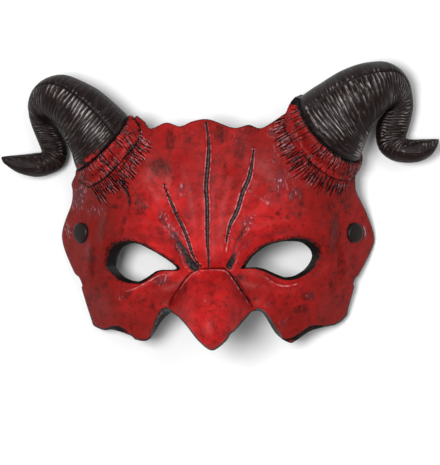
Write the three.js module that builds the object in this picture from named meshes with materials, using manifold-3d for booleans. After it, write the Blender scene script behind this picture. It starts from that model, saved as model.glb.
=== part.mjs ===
// Devil half mask of cast foam with two curled horns and a stud in each temple, lying on its back.
// Millimetres. +X runs to the right over the face, +Y up it and +Z out of it; the table is z = 0.
// The origin is on the table, under the middle of the mask.
import * as THREE from 'three';
import { mergeVertices } from 'three/addons/utils/BufferGeometryUtils.js';
import Module from 'manifold-3d';

const wasm = await Module();
wasm.setup();

// Foam wall and the round of the face
const FOAM = 4.5;
const BEAK_WALL = 5.5;
const FACE_HEIGHT = 47;
const FACE_MID = -1.8;
const FOREHEAD_RADIUS = 115;
const CHEEK_RADIUS = 100;
const CHEEK_FROM = -15;
const CHEEK_TO = -70;
const PROFILE_TOP = -10;
const PROFILE_FALL = 0.0028;
const SLOPE_STEP = 0.5;

// Outline of the face seen from the front, clockwise from the left horn, one row of points a stretch
const BROW_EDGE = [
  [-46.5, 50.5], [-42.3, 47.3], [-38.2, 43.0], [-29.6, 46.3], [-21.6, 44.2], [-14.2, 47.1], [-5.2, 48.0],
  [8.4, 43.3], [17.3, 44.9], [24.6, 43.2], [36.3, 50.6], [44.0, 56.5],
];
const RIGHT_EDGE = [
  [77.3, 21.5], [77.1, 11.9], [78.0, 6.8], [83.7, -5.2], [87.7, -17.7], [86.2, -25.7], [79.1, -39.6],
  [77.4, -41.1], [76.0, -45.0], [76.2, -47.6], [73.1, -58.8], [72.1, -63.1], [68.6, -66.8],
];
const RIGHT_LOBE = [
  [65.0, -68.5], [52.5, -71.3], [43.5, -77.0], [39.6, -78.1], [32.3, -73.0], [25.2, -61.3], [20.2, -59.8],
];
const BEAK_EDGE = [
  [18.4, -60.7], [11.1, -69.6], [7.8, -72.4], [5.0, -76.5], [-2.3, -81.4], [-9.6, -76.1], [-16.8, -67.7],
  [-21.9, -62.9],
];
const LEFT_LOBE = [
  [-26.1, -60.5], [-31.9, -65.6], [-39.7, -76.3], [-47.3, -76.6], [-50.7, -74.2], [-60.8, -71.2],
  [-66.3, -71.5], [-71.8, -69.7],
];
const LEFT_EDGE = [
  [-73.2, -68.6], [-79.2, -48.6], [-78.9, -46.3], [-80.8, -41.4], [-84.5, -37.2], [-91.2, -18.0],
  [-85.2, 0.6], [-84.4, 8.0], [-84.9, 12.5], [-81.0, 19.5],
];
const OUTLINE_DIVISIONS = 2;

// Eye openings; the wall behind the rim leans in, most of all at the outer end
const EYE_LEFT = [
  [-64.7, -31.3], [-61.6, -24.1], [-53.3, -20.4], [-41.7, -22.5], [-21.8, -35.5], [-33.2, -37.4],
  [-40.8, -42.6], [-45.4, -44.4], [-55.4, -42.7], [-63.0, -35.8],
];
const EYE_RIGHT = [
  [13.1, -35.8], [19.8, -27.3], [29.3, -21.4], [46.6, -18.9], [56.1, -23.5], [56.6, -31.2], [48.2, -39.5],
  [37.6, -42.1], [23.1, -36.2],
];
const EYE_LEAN_LEFT = 0.56;
const EYE_LEAN_RIGHT = 0.38;
const EYE_LEAN_INNER = 0.14;
const EYE_LEAN_DEPTH = 3.2;

// Soft swellings on the face: a path, its half width and its height
const SWELLINGS = [
  { path: [[-15, -25], [-27, -13], [-43, -10], [-60, -14], [-69, -25]], width: 7.5, height: 4.2 },
  { path: [[8, -25], [19, -16], [33, -10], [50, -8], [62, -16]], width: 7.5, height: 4.2 },
  { path: [[-8.5, -31], [-12, -12], [-16, 6], [-20, 22]], width: 4.5, height: 2.4 },
  { path: [[-15, -30], [-21, -18], [-30, -4], [-38, 8]], width: 3.2, height: 1.8 },
  { path: [[-0.5, -31], [0.5, -18], [4, -4], [8, 14]], width: 4.5, height: 2.4 },
  { path: [[7, -30], [9, -15], [15, -2], [22, 12]], width: 3.2, height: 1.8 },
  { path: [[-32, -48], [-45, -54], [-60, -56]], width: 9, height: 3.2 },
  { path: [[24, -46], [38, -52], [54, -55]], width: 9, height: 3.2 },
  { path: [[-30, -60], [-36, -72]], width: 5, height: 3 },
  { path: [[24, -58], [31, -70]], width: 5, height: 3 },
];
const SOCKETS = [
  { centre: [-43, -32], half: [21, 11.5], depth: 2.6 },
  { centre: [35, -30.5], half: [22, 11.5], depth: 2.6 },
];
const SOCKET_EDGE = 0.3;

// Beak of a nose, from the crease at its root to the tip
const NOSE_MID = -3.4;
const NOSE_ROOT = -36;
const NOSE_TIP = -81.4;
const NOSE_RISE = 33.5;
const NOSE_STEP = 2.2;
const NOSE_DROOP = 3;
const NOSE_ROOT_HALF = 8.5;
const NOSE_WING_HALF = 24;
const NOSE_WING_AT = 0.48;
const NOSE_CREST_AT = 0.88;
const NOSE_SPREAD = 0.7;
const NOSE_ROUNDNESS = 2.1;

// Carved lines: a path, the radius of the cutter and its height over the skin
const LINES = [
  { path: [[-6.9, 46.5], [-5.0, 32.9], [-6.3, 2.5], [-4.9, -35.0]], radius: 1.6, lift: -0.1 },
  { path: [[-30.9, 12.7], [-22.5, -7.6], [-17.2, -18.2], [-10.7, -33.9]], radius: 1.6, lift: -0.1 },
  { path: [[20.1, 32.3], [18.9, 18.8], [10.4, -4.2], [4.9, -19.9], [4.4, -32.2]], radius: 1.6, lift: -0.1 },
  { path: [[-36.5, -1.9], [-23.7, -17.7], [-17.8, -28.9], [-13.6, -34.4]], radius: 2.1, lift: 0 },
  { path: [[18.7, -4.2], [10.6, -21.6], [9.2, -28.6], [6.9, -34.5]], radius: 2.1, lift: 0 },
  {
    path: [
      [-27.2, -59.4], [-26.6, -54.3], [-19.0, -41.5], [-11.6, -36.4], [4.7, -36.6], [15.2, -51.9],
      [20.6, -59.4],
    ],
    radius: 1.5,
    lift: 0,
  },
];
const LINE_STEP = 7;
const LINE_CLEARANCE = 0.4;
const LINE_RUNOUT = 0.15;

// Horns: outer x and y, inner x and y of the silhouette, and z of the core, from the collar to the tip
const HORN_LEFT = [
  [-45.2, 41.4, -73.7, 10.7, 18], [-51.7, 50.3, -80.9, 19.7, 21.5], [-61.8, 59.9, -84.5, 31.1, 24],
  [-70.4, 66.5, -88.8, 40.7, 24.5], [-79.1, 71.1, -93.0, 46.8, 23], [-87.9, 73.9, -96.2, 49.1, 20.5],
  [-96.8, 72.6, -97.9, 49.8, 17.5], [-104.5, 67.6, -98.5, 49.9, 14], [-108.8, 60.6, -98.2, 49.4, 11.3],
  [-109.7, 53.8, -96.9, 47.8, 9.3], [-108.5, 46.4, -93.0, 44.1, 8.0], [-103.3, 33.2, -87.4, 31.8, 7.7],
  [-102.6, 30.3, -90.6, 21.5, 9.2], [-105.3, 29.8, -103.0, 16.1, 11.5], [-113.0, 28.7, -114.7, 18.4, 14.5],
  [-121.3, 27.9, -122.5, 23.1, 17.2], [-124.4, 27.5, -124.7, 26.5, 18.2],
];
const HORN_RIGHT = [
  [37.0, 49.5, 72.9, 11.3, 13], [46.3, 61.1, 78.9, 24.8, 21.8], [58.8, 69.5, 82.3, 34.1, 24.6],
  [69.0, 75.9, 84.9, 40.5, 25.5], [77.2, 79.2, 87.2, 45.4, 24.2], [85.4, 80.9, 89.6, 49.7, 21],
  [93.9, 81.2, 91.8, 52.8, 17.3], [101.3, 77.9, 93.4, 54.4, 14], [106.8, 71.6, 94.3, 54.8, 11.4],
  [109.4, 64.0, 94.1, 54.4, 9.8], [110.1, 56.4, 92.3, 52.4, 9], [109.1, 49.5, 90.3, 49.0, 8.7],
  [107.6, 43.8, 89.0, 43.9, 8.7], [106.1, 39.3, 88.8, 38.2, 8.8], [105.9, 38.0, 90.3, 32.4, 9.3],
  [106.7, 37.5, 93.3, 28.4, 10.2], [107.9, 37.3, 97.6, 25.6, 11.2], [109.5, 37.2, 102.7, 24.2, 12.3],
  [112.1, 37.2, 108.7, 24.0, 13.6], [115.5, 37.2, 114.6, 25.2, 15], [119.1, 37.2, 119.7, 27.9, 16.3],
  [122.2, 37.3, 122.9, 31.9, 17.5], [124.3, 37.3, 124.5, 36.2, 18.2],
];
const HORN_ROOT = 16;
const HORN_ROOT_FLATNESS = 0.8;
const HORN_ROUND_FROM = 40;
const HORN_SEGMENTS = 12;
const RIB_PITCH = 4.5;
const RIB_HEIGHT = 0.7;
const RIB_SHARE = 0.52;
const SMOOTH_STEP = 6;
const COURSE_SAMPLES = 400;
const COURSE_STEP = 0.004;

// Collar of skin round each horn's root: rings of a distance behind its edge and a swell over the horn
const COLLAR_RINGS = [[16, -10], [12.4, -4.5], [10.6, -0.8], [7.5, 1.6], [1, 1.9]];
const NOTCHES = 10;
const NOTCH_SPAN = 1.15;
const NOTCH_RADIUS = 0.75;
const STROKE_LIFT = 0.2;
const COLLAR_NOTCH = [[8, 1.4], [0.5, 1.9]];
const SKIN_NOTCH = [13, 23];
const BOSS_HEIGHT = 5;
const BOSS_INSET = 4;
const BOSS_REACH = 16;

// Studs: a head in front, a shank through the foam and a washer behind
const STUD_LEFT = [-78.8, -15.7];
const STUD_RIGHT = [76.5, -15.8];
const STUD_HEAD_RADIUS = 5.7;
const STUD_HEAD_THICK = 1.8;
const STUD_BEVEL = [1.1, 0.8];
const STUD_CROWN = 0.3;
const STUD_SHANK_RADIUS = 2;
const WASHER_RADIUS = 5.5;
const WASHER_THICK = 1.5;
const STUD_GAP = 0.3;
const STUD_SEGMENTS = 14;
const BORE_BOTTOM = -3 * FOAM;

// Grid lines of the front of the face and of the form behind it: a place and the steps that lead to it
const FRONT_X = [[-96, 0], [-34, 9], [27, 20], [94, 10]];
const FRONT_Y = [[-86, 0], [-55, 8], [-18, 12], [62, 14]];
const BACK_X = [[-98, 0], [-28, 6], [21, 10], [96, 6]];
const BACK_Y = [[-88, 0], [-36, 10], [92, 8]];
const DEEP = -30;
const DEEPER = -40;
const ABOVE_ALL = 100;
const TABLE_SPAN = 400;

const { clamp, lerp, smoothstep } = THREE.MathUtils;

// Distance from a point to the nearest place on a path
function distanceTo(path, x, y) {
  let nearest = Infinity;
  for (let i = 0; i + 1 < path.length; i += 1) {
    const [ax, ay] = path[i];
    const [bx, by] = path[i + 1];
    const length2 = (bx - ax) ** 2 + (by - ay) ** 2;
    const t = clamp(((x - ax) * (bx - ax) + (y - ay) * (by - ay)) / length2, 0, 1);
    nearest = Math.min(nearest, Math.hypot(x - lerp(ax, bx, t), y - lerp(ay, by, t)));
  }
  return nearest;
}

function bell(distance, width) {
  return Math.exp(-((distance / width) ** 2));
}

// The plain round of the face
function roundOfFace(x, y) {
  const radius = lerp(FOREHEAD_RADIUS, CHEEK_RADIUS, 1 - smoothstep(y, CHEEK_TO, CHEEK_FROM));
  const across = Math.min(Math.abs(x - FACE_MID), radius - 1);
  const fall = radius - Math.sqrt(radius * radius - across * across);
  return FACE_HEIGHT - PROFILE_FALL * (y - PROFILE_TOP) ** 2 - fall;
}

// The beak over that round; wall narrows and lowers it for the hollow behind
function beak(x, y, wall = 0) {
  const along = clamp((NOSE_ROOT - y - wall) / (NOSE_ROOT - NOSE_TIP), 0, 1.1);
  if (along <= 0) return 0;
  const spread = Math.min(along / NOSE_WING_AT, 1) ** NOSE_SPREAD;
  const half = lerp(NOSE_ROOT_HALF, NOSE_WING_HALF, spread) - wall;
  const across = Math.abs(x - NOSE_MID) / half;
  if (across >= 1) return 0;
  const rise = NOSE_RISE * Math.sin((Math.PI / 2) * Math.min(along / NOSE_CREST_AT, 1));
  const droop = NOSE_DROOP * smoothstep(along, NOSE_CREST_AT, 1);
  return Math.max(NOSE_STEP + rise - droop - wall / 2, 0) * (1 - across ** NOSE_ROUNDNESS);
}

function socket(x, y) {
  let dip = 0;
  for (const { centre, half, depth } of SOCKETS) {
    const reach = Math.hypot((x - centre[0]) / half[0], (y - centre[1]) / half[1]);
    dip += depth * bell(Math.max(reach - 1, 0), SOCKET_EDGE);
  }
  return dip;
}

function boss(x, y) {
  let rise = 0;
  for (const rows of [HORN_LEFT, HORN_RIGHT]) {
    const [ox, oy, ix, iy] = rows[0];
    const half = Math.hypot(ox - ix, oy - iy) / 2;
    const away = Math.hypot(x - (ox + ix) / 2, y - (oy + iy) / 2);
    rise += BOSS_HEIGHT * (1 - smoothstep(away, half - BOSS_INSET, half + BOSS_REACH));
  }
  return rise;
}

// Height of the front of the face over the table
function front(x, y) {
  let height = roundOfFace(x, y) + boss(x, y) + beak(x, y) - socket(x, y);
  for (const { path, width, height: rise } of SWELLINGS) {
    height += rise * bell(distanceTo(path, x, y), width);
  }
  return height;
}

// Slope of the plain round of the face, along X and along Y
function roundSlope(x, y) {
  return [
    (roundOfFace(x + SLOPE_STEP, y) - roundOfFace(x - SLOPE_STEP, y)) / (2 * SLOPE_STEP),
    (roundOfFace(x, y + SLOPE_STEP) - roundOfFace(x, y - SLOPE_STEP)) / (2 * SLOPE_STEP),
  ];
}

// Height of the back of the foam, one wall in from the plain form
function back(x, y) {
  return roundOfFace(x, y) - FOAM * Math.hypot(1, ...roundSlope(x, y)) + beak(x, y, BEAK_WALL);
}

// A closed geometry as a solid for cutting and joining
function solidOf(geometry) {
  const bare = geometry.clone();
  bare.deleteAttribute('normal');
  bare.deleteAttribute('uv');
  const merged = mergeVertices(bare, 1e-4);
  const corners = merged.index.array;
  const kept = [];
  for (let i = 0; i < corners.length; i += 3) {
    const [a, b, c] = [corners[i], corners[i + 1], corners[i + 2]];
    if (a !== b && b !== c && c !== a) kept.push(a, b, c);
  }
  const mesh = new wasm.Mesh({
    numProp: 3,
    vertProperties: new Float32Array(merged.attributes.position.array),
    triVerts: new Uint32Array(kept),
  });
  return new wasm.Manifold(mesh);
}

function geometryOf(solid) {
  const mesh = solid.getMesh();
  const geometry = new THREE.BufferGeometry();
  geometry.setAttribute('position', new THREE.BufferAttribute(new Float32Array(mesh.vertProperties), 3));
  geometry.setIndex(new THREE.BufferAttribute(new Uint32Array(mesh.triVerts), 1));
  geometry.computeVertexNormals();
  return geometry;
}

// Moves every vertex of a geometry by a function of its place
function reshape(geometry, move) {
  const position = geometry.attributes.position;
  const point = new THREE.Vector3();
  for (let i = 0; i < position.count; i += 1) {
    point.fromBufferAttribute(position, i);
    move(point);
    position.setXYZ(i, point.x, point.y, point.z);
  }
  return geometry;
}

// Grid lines from stops of a place and the number of steps that lead to it
function gridLines(stops) {
  const lines = [stops[0][0]];
  for (let i = 1; i < stops.length; i += 1) {
    const [to, count] = stops[i];
    for (let k = 1; k <= count; k += 1) lines.push(lerp(stops[i - 1][0], to, k / count));
  }
  return lines;
}

// A block whose top follows a height over a grid, its squares split alike on either side of the nose
function block(height, stopsX, stopsY, bottom) {
  const xs = gridLines(stopsX);
  const ys = gridLines(stopsY);
  const columns = xs.length - 1;
  const rows = ys.length - 1;
  const box = new THREE.BoxGeometry(columns, rows, 1, columns, rows, 1);
  reshape(box, (point) => {
    const top = point.z > 0;
    point.x = xs[Math.round(point.x + columns / 2)];
    point.y = ys[Math.round(point.y + rows / 2)];
    point.z = top ? height(point.x, point.y) : bottom;
  });
  const corners = box.index.array;
  for (let i = 0; i < corners.length; i += 6) {
    const [a, b, d, , c] = corners.slice(i, i + 6);
    if (box.attributes.position.getX(c) > NOSE_MID) corners.set([a, b, c, a, c, d], i);
  }
  return box;
}

// A closed shape from stretches of points, each a smooth curve, with corners between them
function outlineShape(stretches) {
  const shape = new THREE.Shape();
  shape.moveTo(...stretches[0][0]);
  for (const [k, stretch] of stretches.entries()) {
    const points = stretch.map(([x, y]) => new THREE.Vector2(x, y));
    if (k > 0) shape.lineTo(points[0].x, points[0].y);
    shape.splineThru(points.slice(1));
  }
  shape.closePath();
  return shape;
}

function facePrism() {
  const shape = outlineShape([BROW_EDGE, RIGHT_EDGE, RIGHT_LOBE, BEAK_EDGE, LEFT_LOBE, LEFT_EDGE]);
  const prism = new THREE.ExtrudeGeometry(shape, {
    depth: ABOVE_ALL - DEEP,
    bevelEnabled: false,
    curveSegments: OUTLINE_DIVISIONS,
  });
  return prism.translate(0, 0, DEEP);
}

// Cutter for an eye opening: straight in front of the rim, drawn in towards the eye's middle behind it
function eyeCutter(points, leanOuter) {
  const middle = [0, 1].map((k) => points.reduce((sum, point) => sum + point[k], 0) / points.length);
  const xs = points.map(([x]) => x);
  const outer = middle[0] < NOSE_MID ? Math.min(...xs) : Math.max(...xs);
  const levels = [
    () => DEEP,
    (skin) => skin - EYE_LEAN_DEPTH,
    (skin) => skin + LINE_CLEARANCE,
    () => ABOVE_ALL,
  ];
  const leaning = 2;
  const cutter = new THREE.ExtrudeGeometry(outlineShape([[...points, points[0]]]), {
    depth: levels.length - 1,
    steps: levels.length - 1,
    bevelEnabled: false,
    curveSegments: OUTLINE_DIVISIONS,
  });
  return reshape(cutter, (point) => {
    const outward = clamp((point.x - middle[0]) / (outer - middle[0]), 0, 1);
    const lean = lerp(EYE_LEAN_INNER, leanOuter, outward);
    const level = Math.round(point.z);
    if (level < leaning) {
      point.x = lerp(point.x, middle[0], lean);
      point.y = lerp(point.y, middle[1], lean);
    }
    point.z = levels[level](front(point.x, point.y));
  });
}

// Cutter for a carved line: a round bar that runs along the skin and leaves it at both ends
function lineCutter({ path, radius, lift }) {
  const flat = new THREE.SplineCurve(path.map(([x, y]) => new THREE.Vector2(x, y)));
  const steps = Math.round(flat.getLength() / LINE_STEP);
  const points = [];
  for (let i = 0; i <= steps; i += 1) {
    const along = i / steps;
    const { x, y } = flat.getPointAt(along);
    const atEnd = 1 - smoothstep(Math.min(along, 1 - along), 0, LINE_RUNOUT);
    points.push(new THREE.Vector3(x, y, front(x, y) + lerp(lift, radius, atEnd)));
  }
  const round = new THREE.Shape();
  round.absarc(0, 0, radius, 0, 2 * Math.PI, false);
  return new THREE.ExtrudeGeometry(round, {
    steps,
    curveSegments: 3,
    bevelEnabled: false,
    extrudePath: new THREE.CatmullRomCurve3(points),
  });
}

// The course of a horn: its section at a distance from the root, and a point on its side
function hornCourse(rows) {
  const curve = (points) => new THREE.CatmullRomCurve3(points, false, 'catmullrom', 0.5);
  const outer = curve(rows.map(([x, y, , , z]) => new THREE.Vector3(x, y, z)));
  const inner = curve(rows.map(([, , x, y, z]) => new THREE.Vector3(x, y, z)));
  const core = (t) => outer.getPoint(t).add(inner.getPoint(t)).multiplyScalar(0.5);
  const lengths = [0];
  for (let i = 1; i <= COURSE_SAMPLES; i += 1) {
    lengths.push(lengths[i - 1] + core(i / COURSE_SAMPLES).distanceTo(core((i - 1) / COURSE_SAMPLES)));
  }
  const total = lengths[COURSE_SAMPLES];
  const sectionAt = (s) => {
    const distance = clamp(s, COURSE_STEP, total - COURSE_STEP);
    const k = lengths.findIndex((length) => length >= distance);
    const t = (k - 1 + (distance - lengths[k - 1]) / (lengths[k] - lengths[k - 1])) / COURSE_SAMPLES;
    const side = outer.getPoint(t).sub(inner.getPoint(t));
    const half = side.length() / 2;
    side.normalize();
    const ahead = core(Math.min(t + COURSE_STEP, 1)).sub(core(Math.max(t - COURSE_STEP, 0))).normalize();
    const centre = core(t).addScaledVector(ahead, s - distance);
    return { centre, half, side, depth: side.clone().cross(ahead).normalize() };
  };
  const place = (s, x, z) => {
    const { centre, side, depth } = sectionAt(s);
    const roundness = lerp(HORN_ROOT_FLATNESS, 1, smoothstep(s, 0, HORN_ROUND_FROM));
    return centre.addScaledVector(side, x).addScaledVector(depth, z * roundness);
  };
  const halfAt = (s) => sectionAt(s).half;
  return { total, edge: lengths[Math.round(COURSE_SAMPLES / (rows.length - 1))], halfAt, place };
}

// A horn: a ribbed bar with a collar at its root, turned on a lathe and bent along its course
function horn({ total, edge, halfAt, place }) {
  const profile = [new THREE.Vector2(0, -HORN_ROOT)];
  const ring = (s, relief) => profile.push(new THREE.Vector2(halfAt(s) + relief, s));
  for (const [behind, swell] of COLLAR_RINGS) ring(edge - behind, swell);
  ring(edge, -RIB_HEIGHT);
  const ribs = Math.floor((total * RIB_SHARE - edge) / RIB_PITCH);
  for (let i = 1; i <= ribs; i += 1) {
    ring(edge + (i - 0.5) * RIB_PITCH, RIB_HEIGHT / 2);
    ring(edge + i * RIB_PITCH, -RIB_HEIGHT / 2);
  }
  const ribbed = edge + ribs * RIB_PITCH;
  const smooth = Math.floor((total - ribbed) / SMOOTH_STEP);
  for (let i = 1; i < smooth; i += 1) ring(lerp(ribbed, total, i / smooth), 0);
  profile.push(new THREE.Vector2(0, total));
  return reshape(new THREE.LatheGeometry(profile, HORN_SEGMENTS), (point) => {
    point.copy(place(point.y, point.x, point.z));
  });
}

// A short bar between two points, for cutting a notch
function notchCutter(from, to) {
  const section = new THREE.Shape();
  section.absarc(0, 0, NOTCH_RADIUS, 0, 2 * Math.PI, false);
  return new THREE.ExtrudeGeometry(section, {
    steps: 1,
    curveSegments: 2,
    bevelEnabled: false,
    extrudePath: new THREE.LineCurve3(from, to),
  });
}

// Wrinkles of a collar, and the strokes in the skin beyond it, both running the way the horn does
function wrinkles({ edge, halfAt, place }, turn) {
  const cutters = [];
  for (let i = 0; i <= NOTCHES; i += 1) {
    const angle = lerp(-NOTCH_SPAN, NOTCH_SPAN, i / NOTCHES);
    const on = (behind, swell) => {
      const reach = halfAt(edge - behind) + swell;
      return place(edge - behind, reach * Math.sin(angle), turn * reach * Math.cos(angle));
    };
    cutters.push(notchCutter(...COLLAR_NOTCH.map(([behind, swell]) => on(behind, swell))));
    const stroke = SKIN_NOTCH.map((behind) => on(behind, 0));
    for (const point of stroke) point.z = front(point.x, point.y) + STROKE_LIFT;
    cutters.push(notchCutter(...stroke));
  }
  return cutters;
}

// The cast foam: the face with its horns, hollow behind
function maskCasting() {
  let cast = solidOf(block(front, FRONT_X, FRONT_Y, DEEPER)).intersect(solidOf(facePrism()));
  for (const [rows, turn] of [[HORN_LEFT, 1], [HORN_RIGHT, -1]]) {
    const course = hornCourse(rows);
    cast = cast.add(solidOf(horn(course)));
    for (const cutter of wrinkles(course, turn)) cast = cast.subtract(solidOf(cutter));
  }
  cast = cast.subtract(solidOf(block(back, BACK_X, BACK_Y, DEEPER)));
  cast = cast.subtract(solidOf(eyeCutter(EYE_LEFT, EYE_LEAN_LEFT)));
  cast = cast.subtract(solidOf(eyeCutter(EYE_RIGHT, EYE_LEAN_RIGHT)));
  for (const line of LINES) cast = cast.subtract(solidOf(lineCutter(line)));
  for (const place of [STUD_LEFT, STUD_RIGHT]) cast = cast.subtract(solidOf(studBore(place)));
  const table = new THREE.BoxGeometry(TABLE_SPAN, TABLE_SPAN, TABLE_SPAN).translate(0, 0, -TABLE_SPAN / 2);
  return cast.subtract(solidOf(table));
}

function turned(profile) {
  const points = profile.map(([radius, height]) => new THREE.Vector2(radius, height));
  return new THREE.LatheGeometry(points, STUD_SEGMENTS);
}

// Turns a lathe shape made along +Y to stand on the skin at a stud's place
function onSkin(geometry, [x, y]) {
  const [slopeX, slopeY] = roundSlope(x, y);
  const normal = new THREE.Vector3(-slopeX, -slopeY, 1).normalize();
  const turn = new THREE.Quaternion().setFromUnitVectors(new THREE.Vector3(0, 1, 0), normal);
  return geometry.applyQuaternion(turn).translate(x, y, roundOfFace(x, y));
}

// Cutter for a stud's bore, with a flat seat for the head and one for the washer
function studBore(place) {
  const bore = STUD_SHANK_RADIUS + STUD_GAP;
  const seat = STUD_HEAD_RADIUS + STUD_GAP;
  const profile = [
    [0, BORE_BOTTOM], [seat, BORE_BOTTOM], [seat, -FOAM], [bore, -FOAM],
    [bore, 0], [seat, 0], [seat, FOAM], [0, FOAM],
  ];
  return onSkin(turned(profile), place);
}

function stud(place) {
  const washerTop = -FOAM - STUD_GAP;
  const head = STUD_GAP + STUD_HEAD_THICK;
  const profile = [
    [0, washerTop - WASHER_THICK], [WASHER_RADIUS, washerTop - WASHER_THICK], [WASHER_RADIUS, washerTop],
    [STUD_SHANK_RADIUS, washerTop], [STUD_SHANK_RADIUS, STUD_GAP], [STUD_HEAD_RADIUS, STUD_GAP],
    [STUD_HEAD_RADIUS, head - STUD_BEVEL[1]], [STUD_HEAD_RADIUS - STUD_BEVEL[0], head],
    [0, head + STUD_CROWN],
  ];
  return onSkin(turned(profile), place);
}

const foam = new THREE.MeshStandardMaterial({ color: 0xb02424, roughness: 0.5, metalness: 0 });
const blackPlastic = new THREE.MeshStandardMaterial({ color: 0x1c1f1d, roughness: 0.4, metalness: 0 });

function named(name, solid, material) {
  const mesh = new THREE.Mesh(geometryOf(solid), material);
  mesh.name = name;
  return mesh;
}

const group = new THREE.Group();
group.add(named('mask_casting', maskCasting(), foam));
group.add(named('strap_stud_left', solidOf(stud(STUD_LEFT)), blackPlastic));
group.add(named('strap_stud_right', solidOf(stud(STUD_RIGHT)), blackPlastic));

export default group;
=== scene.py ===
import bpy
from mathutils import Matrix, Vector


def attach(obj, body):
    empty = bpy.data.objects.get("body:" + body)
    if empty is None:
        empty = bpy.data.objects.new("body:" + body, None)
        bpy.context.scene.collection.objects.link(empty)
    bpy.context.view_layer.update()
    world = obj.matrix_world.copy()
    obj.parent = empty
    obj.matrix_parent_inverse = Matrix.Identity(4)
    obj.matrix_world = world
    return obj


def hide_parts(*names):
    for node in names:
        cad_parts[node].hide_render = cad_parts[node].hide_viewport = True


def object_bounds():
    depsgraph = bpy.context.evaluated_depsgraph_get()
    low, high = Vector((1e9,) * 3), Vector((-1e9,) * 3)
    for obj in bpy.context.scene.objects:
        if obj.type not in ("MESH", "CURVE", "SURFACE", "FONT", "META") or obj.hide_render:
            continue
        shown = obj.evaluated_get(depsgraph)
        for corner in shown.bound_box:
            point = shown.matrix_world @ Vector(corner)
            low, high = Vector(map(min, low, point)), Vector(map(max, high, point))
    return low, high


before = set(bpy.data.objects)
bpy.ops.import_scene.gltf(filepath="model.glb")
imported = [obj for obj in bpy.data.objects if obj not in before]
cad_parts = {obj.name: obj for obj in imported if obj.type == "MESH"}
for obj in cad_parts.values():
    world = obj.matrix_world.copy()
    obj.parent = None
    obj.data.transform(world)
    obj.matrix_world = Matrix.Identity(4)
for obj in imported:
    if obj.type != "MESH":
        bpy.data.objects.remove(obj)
cad_box = [list(corner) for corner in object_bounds()]

import math

import bmesh
import bpy
import numpy as np
from mathutils import Vector
from mathutils.geometry import delaunay_2d_cdt
from mathutils.kdtree import KDTree

# Millimetres below, as in the part's source; meshes are made in metres.
# +X runs to the right over the face, +Y up it and +Z out of it; the table is z = 0.
MM = 0.001

# Foam wall and the round of the face
FOAM = 4.5
BEAK_WALL = 5.5
FACE_HEIGHT = 47
FACE_MID = -1.8
FOREHEAD_RADIUS = 115
CHEEK_RADIUS = 100
CHEEK_FROM = -15
CHEEK_TO = -70
PROFILE_TOP = -10
PROFILE_FALL = 0.0028

# Outline of the face seen from the front, clockwise from the left horn, one row of points a stretch
OUTLINE = [
    [
        (-46.5, 50.5), (-42.3, 47.3), (-38.2, 43), (-29.6, 46.3), (-21.6, 44.2), (-14.2, 47.1), (-5.2, 48),
        (8.4, 43.3), (17.3, 44.9), (24.6, 43.2), (36.3, 50.6), (44, 56.5),
    ],
    [
        (77.3, 21.5), (77.1, 11.9), (78, 6.8), (83.7, -5.2), (87.7, -17.7), (86.2, -25.7), (79.1, -39.6),
        (77.4, -41.1), (76, -45), (76.2, -47.6), (73.1, -58.8), (72.1, -63.1), (68.6, -66.8),
    ],
    [(65, -68.5), (52.5, -71.3), (43.5, -77), (39.6, -78.1), (32.3, -73), (25.2, -61.3), (20.2, -59.8)],
    [
        (18.4, -60.7), (11.1, -69.6), (7.8, -72.4), (5, -76.5), (-2.3, -81.3), (-9.6, -76.1), (-16.8, -67.7),
        (-21.9, -62.9),
    ],
    [
        (-26.1, -60.5), (-31.9, -65.6), (-39.7, -76.3), (-47.3, -76.6), (-50.7, -74.2), (-60.8, -71.2),
        (-66.3, -71.5), (-71.8, -69.7),
    ],
    [
        (-73.2, -68.6), (-79.2, -48.6), (-78.9, -46.3), (-80.8, -41.4), (-84.5, -37.2), (-91.2, -18),
        (-85.2, 0.6), (-84.4, 8), (-84.9, 12.5), (-81, 19.5),
    ],
]

# Eye openings; the wall behind the rim leans in, most of all at the outer end
EYES = [
    [
        (-64.7, -31.3), (-61.6, -24.1), (-53.3, -20.4), (-41.7, -22.5), (-21.8, -35.5), (-33.2, -37.4),
        (-40.8, -42.6), (-45.4, -44.4), (-55.4, -42.7), (-63, -35.8),
    ],
    [
        (13.1, -35.8), (19.8, -27.3), (29.3, -21.4), (46.6, -18.9), (56.1, -23.5), (56.6, -31.2),
        (48.2, -39.5), (37.6, -42.1), (23.1, -36.2),
    ],
]
# Above one height an eye's edge is its upper lid, and past one distance from the middle its outer end;
# soft black, partly black paint and partly painted shade, spreads over the skin beside both
EYE_CORNERS = -34
EYE_BANDS_FROM = 52
EYE_HALO = 0.58
EYE_HALO_REACH = 3.6
EYE_LEAN_OUTER = (0.56, 0.38)
EYE_LEAN_INNER = 0.14
EYE_LEAN_DEPTH = 3.2

# Soft swellings on the face: a path, its half width and its height
SWELLINGS = [
    ([(-15, -25), (-27, -13), (-43, -10), (-60, -14), (-69, -25)], 7.5, 4.2),
    ([(8, -25), (19, -16), (33, -10), (50, -8), (62, -16)], 7.5, 4.2),
    ([(-8.5, -31), (-12, -12), (-16, 6), (-20, 22)], 5.8, 1.9),
    ([(-15, -30), (-21, -18), (-30, -4), (-38, 8)], 4.4, 1.4),
    ([(-0.5, -31), (0.5, -18), (4, -4), (8, 14)], 5.8, 1.9),
    ([(7, -30), (9, -15), (15, -2), (22, 12)], 4.4, 1.4),
    ([(-32, -48), (-45, -54), (-60, -56)], 9, 3.2),
    ([(24, -46), (38, -52), (54, -55)], 9, 3.2),
    ([(-30, -60), (-36, -72)], 5, 3),
    ([(24, -58), (31, -70)], 5, 3),
]
SOCKETS = [((-43, -32), (21, 11.5), 2.6), ((35, -30.5), (22, 11.5), 2.6)]
SOCKET_EDGE = 0.3

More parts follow.
